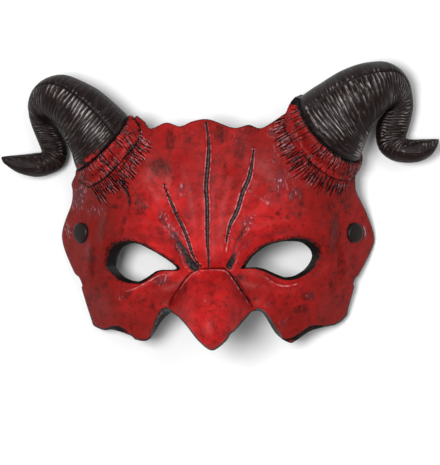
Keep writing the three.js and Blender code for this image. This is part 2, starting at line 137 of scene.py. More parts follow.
# Beak of a nose, from the crease at its root to the tip
NOSE_MID = -3.4
NOSE_ROOT = -36
NOSE_TIP = -81.4
NOSE_RISE = 33.5
NOSE_STEP = 2.2
NOSE_DROOP = 3
NOSE_ROOT_HALF = 8.5
NOSE_WING_HALF = 24
NOSE_WING_AT = 0.48
NOSE_CREST_AT = 0.88
NOSE_SPREAD = 0.7
NOSE_ROUNDNESS = 2.1

# Horns: outer x and y, inner x and y of the silhouette, and z of the core, from the collar to the tip
HORN_LEFT = [
    (-45.2, 41.4, -73.7, 10.7, 18), (-51.7, 50.3, -80.9, 19.7, 21.5), (-61.8, 59.9, -84.5, 31.1, 24),
    (-70.4, 66.5, -88.8, 40.7, 24.5), (-79.1, 71.1, -93, 46.8, 23), (-87.9, 73.9, -96.2, 49.1, 20.5),
    (-96.8, 72.6, -97.9, 49.8, 17.5), (-104.5, 67.6, -98.5, 49.9, 14), (-108.8, 60.6, -98.2, 49.4, 11.3),
    (-109.7, 53.8, -96.9, 47.8, 9.3), (-108.5, 46.4, -93, 44.1, 8), (-103.3, 33.2, -87.4, 31.8, 7.7),
    (-102.6, 30.3, -90.6, 21.5, 9.2), (-105.3, 29.8, -103, 16.1, 11.5), (-113, 28.7, -114.7, 18.4, 14.5),
    (-121.3, 27.9, -122.5, 23.1, 17.2), (-124.4, 27.5, -124.7, 26.5, 18.2),
]
HORN_RIGHT = [
    (37, 49.5, 72.9, 11.3, 13), (46.3, 61.1, 78.9, 24.8, 21.8), (58.8, 69.5, 82.3, 34.1, 24.6),
    (69, 75.9, 84.9, 40.5, 25.5), (77.2, 79.2, 87.2, 45.4, 24.2), (85.4, 80.9, 89.6, 49.7, 21),
    (93.9, 81.2, 91.8, 52.8, 17.3), (101.3, 77.9, 93.4, 54.4, 14), (106.8, 71.6, 94.3, 54.8, 11.4),
    (109.4, 64, 94.1, 54.4, 9.8), (110.1, 56.4, 92.3, 52.4, 9), (109.1, 49.5, 90.3, 49, 8.7),
    (107.6, 43.8, 89, 43.9, 8.7), (106.1, 39.3, 88.8, 38.2, 8.8), (105.9, 38, 90.3, 32.4, 9.3),
    (106.7, 37.5, 93.3, 28.4, 10.2), (107.9, 37.3, 97.6, 25.6, 11.2), (109.5, 37.2, 102.7, 24.2, 12.3),
    (112.1, 37.2, 108.7, 24, 13.6), (115.5, 37.2, 114.6, 25.2, 15), (119.1, 37.2, 119.7, 27.9, 16.3),
    (122.2, 37.3, 122.9, 31.9, 17.5), (124.3, 37.3, 124.5, 36.2, 18.2),
]
HORN_ROOT_FLATNESS = 0.8
HORN_ROUND_FROM = 40
COURSE_SAMPLES = 400
COURSE_STEP = 0.004
BOSS_HEIGHT = 5
BOSS_INSET = 4
BOSS_REACH = 16

# Studs: a head in front, a shank through the foam and a washer behind
STUDS = {"strap_stud_left": (-78.8, -15.7), "strap_stud_right": (76.5, -15.8)}
STUD_HEAD_RADIUS = 5.7
STUD_HEAD_THICK = 1.8
STUD_SHANK_RADIUS = 2
WASHER_RADIUS = 5.5
WASHER_THICK = 1.5
STUD_GAP = 0.3

# Carved lines: a path, half the width, the depth, the height of the lips and the strength of the painted
# highlight along them
FURROWS = [
    (
        [
            (-6.9, 46.5), (-5.8, 40), (-5.1, 31.8), (-5.6, 21), (-6.4, 10), (-5.8, 0), (-5.5, -20),
            (-4.9, -29), (-5, -35.3),
        ],
        1.05, 1.4, 0.3, 0.7,
    ),
    (
        [
            (-30.2, 11.2), (-28, 5.5), (-22.9, -5.9), (-19.6, -12.1), (-16.4, -19.9), (-14.6, -25.5),
            (-12.6, -30.5), (-8.9, -35),
        ],
        0.8, 1.3, 0.35, 1,
    ),
    (
        [(20, 30.8), (19.5, 25), (17.6, 14.9), (14.2, 7), (11, -3.7), (7.4, -10.7), (5.6, -17.7), (5.1, -21)],
        1.05, 1.4, 0.4, 1,
    ),
]
# Folds beside them: a path, half the width, the depth and the share of the length at which the black begins
FOLDS = [
    (
        [(-34.7, -3.6), (-28.8, -12.1), (-22.6, -19.3), (-18.1, -26.6), (-15.6, -32), (-12.7, -35.2)],
        1, 1.3, 0.25,
    ),
    ([(18.8, -5.3), (14.1, -16), (10.9, -22.4), (9.3, -28.7), (6.4, -34.6)], 0.7, 1.3, 0.5),
]
# Crease round the root and the sides of the nose
NOSE_CREASE_HALF = 0.6
NOSE_CREASE = [
    (-27, -57), (-26.2, -53.7), (-22.5, -48), (-18.7, -42.4), (-15.6, -39), (-12.4, -37), (-9, -36.1),
    (3.1, -36), (6.4, -38), (9, -41.2), (12.6, -46.8), (16.1, -51.9), (20.2, -58.6),
]
# How black it is and how strong its painted highlight, at shares of its length
CREASE_INK = [
    (0, 0.6), (0.3, 0.7), (0.4, 0.5), (0.55, 0.55), (0.62, 0.8), (0.72, 1.1), (0.84, 0.95), (1, 0.5),
]
CREASE_LIGHT = [(0, 0.2), (0.14, 0.3), (0.22, 1), (0.36, 0.9), (0.45, 0.6), (0.55, 1), (0.85, 0.8), (1, 0.3)]
# Thin raised lines with a painted highlight along them: under the eyes, between the brows and beside the
# studs
LIPS = [
    [(-56, -49.6), (-49.5, -48.2), (-45.4, -46.4), (-38.5, -42.8), (-33, -39.8), (-26, -39)],
    [(22.5, -38.4), (28.1, -41.8), (32, -44.4), (37.6, -45.9), (43.2, -45), (49, -42.6)],
    [(6.6, -18.2), (5.5, -23.2), (4.7, -28)],
    [(-84.7, -10.6), (-86.4, -13.1), (-86.7, -16), (-85.7, -20)],
    [(80.5, -10.9), (82.3, -13.4), (82.7, -16.6), (81.7, -20)],
]
# A thin scratch, faint folds in the temples and a dark vein
SCRATCH = [(17.6, 7.6), (22.6, 4.5), (28.2, 0.8)]
TEMPLE_FOLDS = [
    [(-69, 4), (-67.5, -4.1), (-69.4, -13.1), (-68.9, -25.6), (-71, -37), (-69.8, -47)],
    [(66.5, 0), (68, -9), (66, -20), (67.5, -33), (65.5, -47)],
]
VEIN = [(-54.7, 13.3), (-52, 8.8), (-50.3, 4.6), (-49.9, 0.4), (-51.4, -4.1), (-53.1, -8.7), (-54.5, -13.2)]

# Where the foam's cut edge shows from in front: its border on the skin, and two points beyond the outline
CUT_BANDS = [
    (
        [
            (-38.6, -74), (-37, -67.9), (-35.8, -64.5), (-34.3, -61.2), (-32.7, -59.1), (-30.8, -57.8),
            (-28.4, -57.6), (-26.2, -59),
        ],
        [(-24, -66), (-36, -82)],
    ),
    (
        [(21.2, -58.4), (23.6, -58.1), (27, -60.4), (30.3, -65), (33, -69.5), (36.4, -75)],
        [(33, -80), (20, -66)],
    ),
]
CUT_DROP = 3.4
# Dark hollows along the lower edge
CRESCENTS = [
    [(-66, -71), (-61.5, -70), (-57, -70), (-52, -72)],
    [(37, -76.2), (41.5, -75.8), (46.5, -73.4), (52, -69.5), (58.5, -68.4)],
]
CRESCENT_HALF = 1.6

# Paint rubbed into the skin in dark patches, and patches worn pale: middle, half sizes, tilt and strength
WASH = [
    (-27, 36, 3, 8, 0, 0.9), (-32, 21, 7, 6.5, -15, 0.9), (-44, 0, 5, 8, -10, 0.65),
    (-55.5, 7, 3, 3.5, 0, 0.5), (-65, -13, 2.5, 8, -5, 0.6), (-2.5, 13.5, 1.5, 2.5, 0, 0.6),
    (-65, -46, 2.5, 2.5, 0, 0.9), (-70, -49.5, 3, 5, 0, 0.7), (-72.5, -32.5, 2.5, 13, 0, 0.8),
    (-62, -41.5, 2.5, 1.5, 0, 0.7), (-50, -68, 1.5, 3.5, 0, 0.5), (-37, -57, 2, 2.5, 0, 0.8),
    (-45, -55.5, 2.5, 1.5, 0, 0.5), (1.5, 40, 4.5, 7, 0, 0.95), (-2, 23.5, 1, 2.5, 0, 0.7),
    (-2, 14.5, 1, 2.5, 0, 0.7), (8.5, 9, 1.5, 1.5, 0, 0.7), (12.5, 31, 4, 13, 0, 0.6),
    (4, 16, 2.5, 9, 0, 0.45), (65.5, -15.5, 3.5, 14, 0, 1), (69, -32.5, 3, 9, 0, 0.6),
    (63.5, -45.5, 2, 2.5, 0, 0.9), (46, -59, 5, 3, 20, 1), (67.5, -52, 1.5, 1.5, 0, 0.6),
    (61.5, -24, 1.5, 1.5, 0, 0.8), (12, -41, 2.5, 3, -20, 0.9), (-12.5, -43, 2.5, 3, 0, 0.4),
    (-6, -50, 1.5, 1, 0, 0.6), (-18, -46, 2, 4, 0, 0.6), (3.5, -42, 1.5, 1, 0, 0.6),
    (-12, -65.5, 3.5, 3, -40, 0.4), (6.5, -53.5, 2.5, 5.5, 0, 0.3), (47, 0, 2.5, 2, 0, 0.9),
    (39, -7, 2, 1.5, 0, 0.8), (46, -5.5, 1.5, 1.5, 0, 0.7), (33.5, -5.5, 1.5, 1.5, 0, 0.6),
    (40, -12, 1, 1, 0, 0.8), (48, -11.5, 1, 1, 0, 0.8), (70.5, 2.5, 4.5, 8, 30, 0.6),
    (75, -32.5, 3, 5.5, 0, 0.4), (71, -54, 3.5, 8, 0, 0.5), (-74.5, -54, 3, 8, -15, 0.5),
    (-88.5, -25.5, 2.5, 9, 10, 0.3), (-17.5, 34, 3, 9, 0, 0.5), (-38, 11, 4.5, 3.5, 0, 0.5),
    (-28, 5.5, 3.5, 5, 0, 0.3), (19, 42, 5, 4, 0, 0.6), (63, 0, 5.5, 4, 0, 0.5), (29, -53.5, 4.5, 4, 0, 0.3),
    (-56.5, -62.5, 6, 3.5, 0, 0.3), (56, -65.5, 5, 3, 0, 0.4), (-1, -65, 4, 5.5, 0, 0.3),
    (46, 25, 1.5, 1.5, 0, 0.5), (-53, -9, 1.5, 4, -15, 0.8), (-56, 4, 2, 1.5, 0, 0.7),
    (-45, 5, 4.5, 1.5, 0, 0.6), (-54.5, -15, 2, 3.5, 0, 0.6), (-31, -9, 2, 4, 30, 0.7),
    (-22, -24, 2.5, 4, 25, 0.8), (-24, -18, 2.5, 3.5, 25, 0.8), (14, -17, 2, 5, -20, 0.7),
    (44, 5.5, 5, 4.5, 0, 0.9), (33, 10, 5, 8, 0, 0.4), (50.5, -51.5, 4, 3, 0, 1), (-31, -43, 4, 3, 25, 0.6),
    (-53, -51, 3, 3.5, 0, 0.9), (-80, 5, 4, 9, -15, 0.6), (-77, 15, 4, 3, 0, 0.7),
    (-53.5, -52, 1.5, 1, 0, 1), (-41.5, -53.5, 2, 1.5, 20, 1), (-58.5, -1, 3, 1.5, 0, 0.8),
    (-42.5, -1.5, 3, 3, 0, 0.9),
]
WORN = [
    (-80, 4.5, 4.5, 9.5, -15, 1), (-69.5, -3.5, 6, 4, -10, 0.6), (-20.5, 8.5, 3, 4, 0, 0.9),
    (-31, -43, 4, 3, 25, 1), (-55.5, -52.5, 1.5, 2, 0, 0.8), (-35, -44, 1.5, 1.5, 0, 0.9),
    (-43, -52.5, 1.5, 1.5, 0, 0.8), (30.5, 40.5, 3, 3.5, 0, 0.9), (32.5, 27.5, 2.5, 7, 0, 0.6),
    (35, 14, 4, 5.5, -10, 1), (43.5, 6, 4, 4, -20, 0.8), (28, 2.5, 2.5, 3, 0, 0.7),
    (16.5, -10, 3.5, 5, -35, 0.9), (16, -21.5, 3, 4.5, -20, 0.4), (51, -51, 3.5, 2.5, 0, 0.5),
    (28.5, -56, 2.5, 2.5, 0, 0.7), (36.5, -67, 2.5, 3.5, -20, 0.7), (12.5, 36.5, 5.5, 7, 0, 0.3),
    (-5, -53, 2.5, 3.5, 0, 0.4), (68.5, 11, 4.5, 1.5, 0, 0.8), (52.5, 12.5, 4.5, 2.5, 20, 0.6),
    # The rows at the studs, here and the last one, mark pale arcs beside them that are partly painted
    # highlights
    (-86, -15.5, 1.5, 4, 0, 0.9), (82.5, -16, 1.5, 4, 0, 0.9), (-30, -7, 3, 7, 30, 0.8),
    (-25.5, -15, 3.5, 6.5, 30, 1), (-20, -25.5, 3, 5, 30, 0.9), (38, 12, 9, 9, 0, 0.4),
    (18, -10, 3, 6, -25, 0.9), (-88, -13, 1.5, 4, 0, 1),
]

# Steps along edges, between points of plain and of carved skin, and along paths taken roughly
EDGE_STEP = 0.75
SKIN_STEP = 1.05
CARVED_STEP = 0.5
ROUGH_STEP = 4
# Depths of the rings of points along an edge. A ring's point keeps a share of its depth from every edge, the
# lattice starts a margin past the last ring, and both keep a margin from the border of a cut band.
RIM_RINGS = (0.14, 0.38, 0.75, 1.2, 1.7)
RING_SHARE = 0.93
RING_MARGIN = 0.25
LINE_MARGIN = 0.22
# Depths of the rings down a cut edge, and the most points that an eye's edge has
WALL_DEPTHS = (0.9, 1.9, 2.9, 3.9, 5.2, 9)
EYE_LOOP_MOST = 400
# The lattice of skin points: from, to and the share of the step, across and up
LATTICE = [(-93, 90, 1), (-83, 60, math.sqrt(3) / 2)]
# Paths whose surroundings are finer, and how far
FINE_AROUND = [
    ([path for path, *_ in FURROWS], 2.6), ([path for path, *_ in FOLDS], 4), ([NOSE_CREASE], 2),
    ([*LIPS, *CRESCENTS, SCRATCH, VEIN], 1.8),
]
STROKE_FINE = 1.1
STUD_SIDES = 64
BORE_SIDES = 48
# Foot of the face's block and of the hollow's, half the width of the table's, and how near points are welded
DEEP = -12
DEEPER = -40
TABLE = 400
WELD = 0.002

# What each vertex of the foam carries for its paint: which surface it is, black, painted highlights and a
# pale scratch, dry-brushed grey with painted highlights on a horn or grey elsewhere, and its distance along
# a horn and round it
CHANNELS = ("kind", "ink", "light", "brush_and_highlight", "along", "around")
SKIN = 1
COLLAR = 2
HORN = 3
EDGE = 4
INSIDE = 5
PLAIN_EDGE = (EDGE, 1.4, 0, 0.3, 0, 0)
PLAIN_INSIDE = (INSIDE, 1.4, 0, 0, 0, 0)
EYE_WALL = (EDGE, 0.95, 0, 0, 0, 0)

rng = np.random.default_rng(7)


def lerp(a, b, t):
    return a + (b - a) * t


def ramp(value, low, high):
    """A smooth rise from 0 to 1 between two values; fall is its reverse."""
    t = np.clip((value - low) / (high - low), 0, 1)
    return t * t * (3 - 2 * t)


def fall(value, low, high):
    return 1 - ramp(value, low, high)


def bell(distance, width):
    return np.exp(-((distance / width) ** 2))


NOISE_TABLE = rng.uniform(-1, 1, (64, 64, 64))


def noise(points, size, shift=0):
    """Smooth noise from -1 to 1 over cells of one size, for points in two or three dimensions."""
    cell = np.asarray(points, float) / size + 17.3 * (shift + 1)
    if cell.shape[1] == 2:
        cell = np.column_stack([cell, np.full(len(cell), 5.5 + shift)])
    base = np.floor(cell).astype(int)
    part = ramp(cell - base, 0, 1)
    total = np.zeros(len(cell))
    for corner in np.ndindex(2, 2, 2):
        at = (base + corner) % 64
        weight = np.prod(np.where(corner, part, 1 - part), axis=1)
        total += weight * NOISE_TABLE[at[:, 0], at[:, 1], at[:, 2]]
    return total


def catmull(points, at, extend):
    """Places on a Catmull-Rom curve through points, for shares of its course from 0 to 1."""
    points = np.asarray(points, float)
    first = 2 * points[0] - points[1] if extend else points[0]
    last = 2 * points[-1] - points[-2] if extend else points[-1]
    padded = np.vstack([first, points, last])
    place = np.clip(at, 0, 1) * (len(points) - 1)
    k = np.minimum(place.astype(int), len(points) - 2)
    w = (place - k)[:, None]
    p0, p1, p2, p3 = (padded[k + i] for i in range(4))
    v0 = (p2 - p0) / 2
    v1 = (p3 - p1) / 2
    return (2 * p1 - 2 * p2 + v0 + v1) * w**3 + (3 * p2 - 3 * p1 - 2 * v0 - v1) * w**2 + v0 * w + p1


def smooth_line(points, step):
    """A smooth curve through points, as points at an even step."""
    dense = catmull(points, np.linspace(0, 1, 40 * len(points)), False)
    lengths = np.concatenate([[0], np.cumsum(np.linalg.norm(np.diff(dense, axis=0), axis=1))])
    stops = np.linspace(0, lengths[-1], max(round(lengths[-1] / step), 2) + 1)
    return np.column_stack([np.interp(stops, lengths, dense[:, i]) for i in range(dense.shape[1])])


def path_distance(path, x, y):
    """Distance to a path, the share of its length at the nearest place, and the side it lies on."""
    path = np.asarray(path, float)
    best = np.full(x.shape, np.inf)
    along = np.zeros(x.shape)
    side = np.ones(x.shape)
    start = 0
    for (ax, ay), (bx, by) in zip(path, path[1:]):
        dx, dy = bx - ax, by - ay
        length = math.hypot(dx, dy)
        t = np.clip(((x - ax) * dx + (y - ay) * dy) / length**2, 0, 1)
        distance = np.hypot(x - ax - t * dx, y - ay - t * dy)
        closer = distance < best
        best = np.where(closer, distance, best)
        along = np.where(closer, start + t * length, along)
        side = np.where(closer, np.sign(dx * (y - ay) - dy * (x - ax)), side)
        start += length
    return best, along / start, side


def near_line(path, x, y, step=2):
    """path_distance to the smooth curve through some points."""
    return path_distance(smooth_line(path, step), x, y)


def inside(polygon, x, y):
    odd = np.zeros(x.shape, bool)
    for (ax, ay), (bx, by) in zip(polygon, np.roll(polygon, -1, axis=0)):
        crosses = (ay > y) != (by > y)
        if crosses.any():
            odd ^= crosses & (x < (bx - ax) * (y - ay) / (by - ay if by != ay else 1) + ax)
    return odd


def round_of_face(x, y):
    """The plain round of the face."""
    radius = lerp(FOREHEAD_RADIUS, CHEEK_RADIUS, fall(y, CHEEK_TO, CHEEK_FROM))
    across = np.minimum(np.abs(x - FACE_MID), radius - 1)
    sag = radius - np.sqrt(radius**2 - across**2)
    return FACE_HEIGHT - PROFILE_FALL * (y - PROFILE_TOP) ** 2 - sag


def beak(x, y, wall=0):
    """The beak over that round; wall narrows and lowers it for the hollow behind."""
    along = np.clip((NOSE_ROOT - y - wall) / (NOSE_ROOT - NOSE_TIP), 0, 1.1)
    spread = np.minimum(along / NOSE_WING_AT, 1) ** NOSE_SPREAD
    half = lerp(NOSE_ROOT_HALF, NOSE_WING_HALF, spread) - wall
    across = np.minimum(np.abs(x - NOSE_MID) / half, 1)
    rise = NOSE_RISE * np.sin((math.pi / 2) * np.minimum(along / NOSE_CREST_AT, 1))
    droop = NOSE_DROOP * ramp(along, NOSE_CREST_AT, 1)
    height = np.maximum(NOSE_STEP + rise - droop - wall / 2, 0) * (1 - across**NOSE_ROUNDNESS)
    return np.where(along > 0, height, 0)


def socket(x, y):
    dip = 0
    for centre, half, depth in SOCKETS:
        reach = np.hypot((x - centre[0]) / half[0], (y - centre[1]) / half[1])
        dip = dip + depth * bell(np.maximum(reach - 1, 0), SOCKET_EDGE)
    return dip


def boss(x, y):
    rise = 0
    for rows in (HORN_LEFT, HORN_RIGHT):
        ox, oy, ix, iy, _ = rows[0]
        half = math.hypot(ox - ix, oy - iy) / 2
        away = np.hypot(x - (ox + ix) / 2, y - (oy + iy) / 2)
        rise = rise + BOSS_HEIGHT * fall(away, half - BOSS_INSET, half + BOSS_REACH)
    return rise


def front(x, y):
    """Height of the front of the face over the table, without its fine carving."""
    height = round_of_face(x, y) + boss(x, y) + beak(x, y) - socket(x, y)
    for path, width, rise in SWELLINGS:
        height = height + rise * bell(path_distance(path, x, y)[0], width)
    return height


def rim_width(y):
    """How far in from an edge the skin starts to roll over it."""
    return 0.9 + 1.2 * fall(y, -66, -56)


def round_slope(x, y):
    step = 0.5
    across = round_of_face(x + step, y) - round_of_face(x - step, y)
    up = round_of_face(x, y + step) - round_of_face(x, y - step)
    return across / (2 * step), up / (2 * step)


def back(x, y):
    """Height of the back of the foam, one wall in from the plain form."""
    slope_x, slope_y = round_slope(x, y)
    return round_of_face(x, y) - FOAM * np.sqrt(1 + slope_x**2 + slope_y**2) + beak(x, y, BEAK_WALL)


class Horn:
    """The course of a horn: its section at a distance from the root, and a point on its side."""

    def __init__(self, rows, turn):
        rows = np.asarray(rows, float)
        self.turn = turn
        self.outer_rows = rows[:, [0, 1, 4]]
        self.inner_rows = rows[:, [2, 3, 4]]
        self.shares = np.linspace(0, 1, COURSE_SAMPLES + 1)
        steps = np.linalg.norm(np.diff(self.core(self.shares), axis=0), axis=1)
        self.lengths = np.concatenate([[0], np.cumsum(steps)])
        self.total = self.lengths[-1]
        self.edge = self.lengths[round(COURSE_SAMPLES / (len(rows) - 1))]

    def core(self, t):
        return (catmull(self.outer_rows, t, True) + catmull(self.inner_rows, t, True)) / 2

    def section(self, s):
        distance = np.clip(s, COURSE_STEP, self.total - COURSE_STEP)
        t = np.interp(distance, self.lengths, self.shares)
        side = catmull(self.outer_rows, t, True) - catmull(self.inner_rows, t, True)
        width = np.linalg.norm(side, axis=1)
        side = side / width[:, None]
        ahead = self.core(np.minimum(t + COURSE_STEP, 1)) - self.core(np.maximum(t - COURSE_STEP, 0))
        ahead = ahead / np.linalg.norm(ahead, axis=1)[:, None]
        centre = self.core(t) + ahead * (s - distance)[:, None]
        depth = np.cross(side, ahead)
        depth = depth / np.linalg.norm(depth, axis=1)[:, None]
        return centre, width / 2, side, depth * self.turn

    def place(self, s, radius, angle):
        """A point at a radius; angle 0 is the front and +90 degrees the outer edge."""
        centre, _, side, depth = self.section(s)
        roundness = lerp(HORN_ROOT_FLATNESS, 1, ramp(s, 0, HORN_ROUND_FROM))
        return (
            centre
            + side * (radius * np.sin(angle))[:, None]
            + depth * (radius * np.cos(angle) * roundness)[:, None]
        )

    def half(self, s):
        return self.section(s)[1]


HORNS = {"left": Horn(HORN_LEFT, 1), "right": Horn(HORN_RIGHT, -1)}


# Strokes in the skin beyond each collar, running the way the horn does
STROKES_A_ROW = 36
STROKE_SPAN = 0.98
STROKE_ROWS = {
    "left": [((9.5, 11.5), (7, 12)), ((14, 19), (4, 9))],
    "right": [((9, 11.5), (8, 12)), ((14, 18), (6, 10))],
}
STROKE_HALF = (0.24, 0.42)
STROKE_DEPTH = (0.4, 0.8)
# Strength of the painted highlight on the ridge beside a stroke
STROKE_LIGHT = (0.15, 1.05)
# At the temple, in the middle and at the forehead: their turn away from the horn's course in degrees, the
# share of their length and the share of their painted highlight
STROKE_TURN = {"left": (-3, 5, 16), "right": (10, -26, -34)}
STROKE_FADE = {"left": (1.3, 1, 0.7), "right": (0.95, 1.1, 0.6)}
STROKE_SHINE = {"left": (0.35, 0.7, 1.1), "right": (0.25, 0.6, 1)}


def at_stroke(values, across):
    """One of three values or between them, from the temple end of a row of strokes to the other."""
    return np.interp(across, (-STROKE_SPAN, 0, STROKE_SPAN), values)


def make_strokes():
    strokes = []
    for side, horn in HORNS.items():
        for begins, lengths in STROKE_ROWS[side]:
            for i in range(STROKES_A_ROW):
                across = lerp(-STROKE_SPAN, STROKE_SPAN, (i + rng.uniform(-0.3, 0.3)) / (STROKES_A_ROW - 1))
                angle = math.asin(np.clip(across, -STROKE_SPAN, STROKE_SPAN))
                s = horn.edge - rng.uniform(*begins) - np.array([0, 1])
                start, ahead = horn.place(s, horn.half(s), np.full(2, angle))[:, :2]
                ahead = (ahead - start) / np.linalg.norm(ahead - start)
                length = rng.uniform(*lengths) * at_stroke(STROKE_FADE[side], across)
                turn = np.radians(at_stroke(STROKE_TURN[side], across) + rng.uniform(-6, 6, 2))
                sideways = np.array([-ahead[1], ahead[0]])
                middle = start + length / 2 * (ahead * math.cos(turn[0]) + sideways * math.sin(turn[0]))
                end = start + length * (ahead * math.cos(turn[1]) + sideways * math.sin(turn[1]))
                path = np.array([start, middle, end])
                half, depth, highlight = (rng.uniform(*r) for r in (STROKE_HALF, STROKE_DEPTH, STROKE_LIGHT))
                strokes.append((path, half, depth, highlight * at_stroke(STROKE_SHINE[side], across)))
    return strokes


STROKES = make_strokes()


class Relief:
    """Fine relief of the face at some places: added height, how black it is, its painted highlights and pale
    scratch, and how grey it is.
    """

    def __init__(self, x, y):
        self.x = x
        self.y = y
        self.height, self.ink, self.light, self.fill = np.zeros((4, len(x)))

    def near(self, path, step=2):
        return near_line(path, self.x, self.y, step)

    def mark(self, **amounts):
        """Raises each named mark to its amount wherever it is lower."""
        for name, amount in amounts.items():
            setattr(self, name, np.maximum(getattr(self, name), amount))


def carve_furrows(skin):
    for path, half, depth, lip, highlight in FURROWS:
        distance, along, _ = skin.near(path)
        taper = 0.5 + 0.5 * ramp(np.minimum(along, 1 - along), 0, 0.3)
        reach = distance / (half * taper)
        skin.height -= depth * taper * fall(reach, 0.45, 1.1)
        skin.height += lip * bell(reach - 1.7, 0.55)
        skin.mark(ink=fall(reach, 0.9, 1.15), fill=taper * fall(reach, 0.3, 0.7))
        # A painted highlight along the lips
        skin.mark(light=highlight * bell(reach - 1.35, 0.25))


def carve_folds(skin):
    for path, half, depth, black_from in FOLDS:
        distance, along, side = skin.near(path)
        outward = side * (1 if path[0][0] < 0 else -1) < 0
        grown = 0.5 + 1.6 * ramp(along, 0.2, 1)
        reach = distance / (half * grown)
        fade = ramp(along, 0, 0.25)
        skin.height -= depth * (0.45 + 0.75 * along) * fade * fall(reach, 0.2, 1.15)
        skin.height += 0.7 * fade * np.where(outward, bell(distance - 3, 2.2), 0.3 * bell(distance - 2, 1))
        dark = 0.15 + 0.57 * ramp(along, black_from, black_from + 0.4)
        dark += 0.4 * ramp(along, 0.72, 0.92)
        skin.mark(ink=dark * fall(reach, 0.5, 1.9), fill=0.5 * fade * fall(reach, 0.4, 1.6))
        # A painted highlight along the outer side of a fold
        skin.mark(light=0.3 * fade * bell(reach - 1.8, 0.4) * outward)


def carve_nose_crease(skin):
    distance, along, side = skin.near(NOSE_CREASE)
    reach = distance / NOSE_CREASE_HALF
    dark, pale = (np.interp(along, *np.array(share).T) for share in (CREASE_INK, CREASE_LIGHT))
    broken = noise(np.column_stack([skin.x, skin.y]), 1.8, 15)
    dark = dark * (1 + 0.6 * ramp(along, 0.6, 0.7) * broken)
    skin.height -= 0.9 * fall(reach, 0.2, 1.3)
    # The crease's black, and a painted highlight along its inner side
    skin.mark(ink=dark * fall(reach, 0.5, 1.25), light=pale * bell(reach - 1.5, 0.4) * (side < 0))


def carve_lips(skin):
    for path in LIPS:
        distance, along, _ = skin.near(path)
        fade = ramp(np.minimum(along, 1 - along), 0, 0.3)
        skin.height += fade * (0.55 * bell(distance, 0.9) - 0.4 * bell(distance - 1.8, 0.8))
        # A painted highlight along the crest of each line
        skin.mark(light=0.85 * fade * bell(distance, 0.33))


def carve_scratch(skin):
    distance, along, _ = path_distance(SCRATCH, skin.x, skin.y)
    skin.height -= 0.2 * bell(distance, 0.35)
    end = 0.4 * bell(1 - along, 0.08) * bell(distance, 1)
    skin.mark(light=0.5 * bell(distance - 0.45, 0.25) + end)


def carve_crescents(skin):
    for path in CRESCENTS:
        distance, along, _ = skin.near(path)
        wide = CRESCENT_HALF * (0.3 + 0.7 * np.sin(math.pi * along))
        skin.height -= 0.5 * fall(distance, 0.4 * wide, 1.3 * wide)
        skin.mark(ink=0.9 * fall(distance, 0.5 * wide, 1.1 * wide))


def carve_temples(skin):
    for path in TEMPLE_FOLDS:
        distance, along, _ = skin.near(path, ROUGH_STEP)
        fade = ramp(np.minimum(along, 1 - along), 0, 0.25)
        skin.height -= 0.8 * fade * bell(distance, 2.2)
        skin.height += 0.35 * fade * bell(distance - 4.5, 2)
    distance, along, _ = skin.near(VEIN)
    fade = 1 - 0.65 * ramp(along, 0.35, 0.9)
    skin.height -= 0.3 * fade * bell(distance, 1.2)
    skin.mark(ink=0.74 * fade * fall(distance, 0.4, 2.2))


def carve_strokes(skin):
    for path, half, depth, highlight in STROKES:
        distance, along, _ = path_distance(path, skin.x, skin.y)
        taper = ramp(np.minimum(along, 1 - along), -0.1, 0.3)
        reach = distance / (half * (0.5 + 0.5 * taper))
        skin.height -= depth * taper * fall(reach, 0.1, 1.2)
        skin.height += 0.22 * taper * bell(reach - 2, 0.7)
        # Black in each stroke and a painted highlight on the ridge beside it
        skin.mark(ink=taper * fall(reach, 0.6, 1.3), light=highlight * taper * bell(reach - 2.1, 0.6))


def carve(x, y):
    """All the fine relief of the face at some places."""
    skin = Relief(x, y)
    carve_furrows(skin)
    carve_folds(skin)
    carve_nose_crease(skin)
    carve_lips(skin)
    carve_scratch(skin)
    carve_crescents(skin)
    carve_temples(skin)
    carve_strokes(skin)
    return skin


def outline_loop():
    """The outline as even points, with its corners kept."""
    parts = []
    for stretch, following in zip(OUTLINE, [*OUTLINE[1:], OUTLINE[0]]):
        parts.append(smooth_line(stretch, EDGE_STEP))
        gap = np.array([stretch[-1], following[0]], float)
        count = round(np.linalg.norm(gap[1] - gap[0]) / EDGE_STEP)
        if count > 1:
            parts.append(lerp(gap[0], gap[1], np.linspace(0, 1, count + 1)[1:-1, None]))
    return np.vstack(parts)


def in_space(points):
    """Points with a third coordinate of 0 where they have two."""
    return np.column_stack([points, np.zeros((len(points), 3 - points.shape[1]))])


def nearest(tree_points, points):
    """Distance from each point to the nearest of tree_points, and that one's number."""
    tree = KDTree(len(tree_points))
    for i, point in enumerate(in_space(tree_points)):
        tree.insert(point, i)
    tree.balance()
    found = [tree.find(point) for point in in_space(points)]
    return np.array([f[2] for f in found]), np.array([f[1] for f in found])


def edge_rings(loop, inwards):
    """Copies of a closed loop moved in from an edge by the depth of each rim ring."""
    tangent = np.roll(loop, -1, axis=0) - np.roll(loop, 1, axis=0)
    tangent /= np.linalg.norm(tangent, axis=1)[:, None]
    x, y = loop.T
    turn = 1 if np.sum(x * np.roll(y, -1) - np.roll(x, -1) * y) > 0 else -1
    normal = np.column_stack([-tangent[:, 1], tangent[:, 0]]) * inwards * turn
    return [loop + normal * depth for depth in RIM_RINGS]


def lattice(step):
    xs, ys = (np.arange(low, high, step * share) for low, high, share in LATTICE)
    grid_x, grid_y = np.meshgrid(xs, ys)
    grid_x[1::2] += step / 2
    return np.column_stack([grid_x.ravel(), grid_y.ravel()])


def detailed(points):
    """Whether a point lies near fine carving."""
    near = np.zeros(len(points), bool)
    for paths, reach in FINE_AROUND:
        for path in paths:
            near |= near_line(path, *points.T, ROUGH_STEP)[0] < reach
    for path, *_ in STROKES:
        near |= path_distance(path, *points.T)[0] < STROKE_FINE
    return near


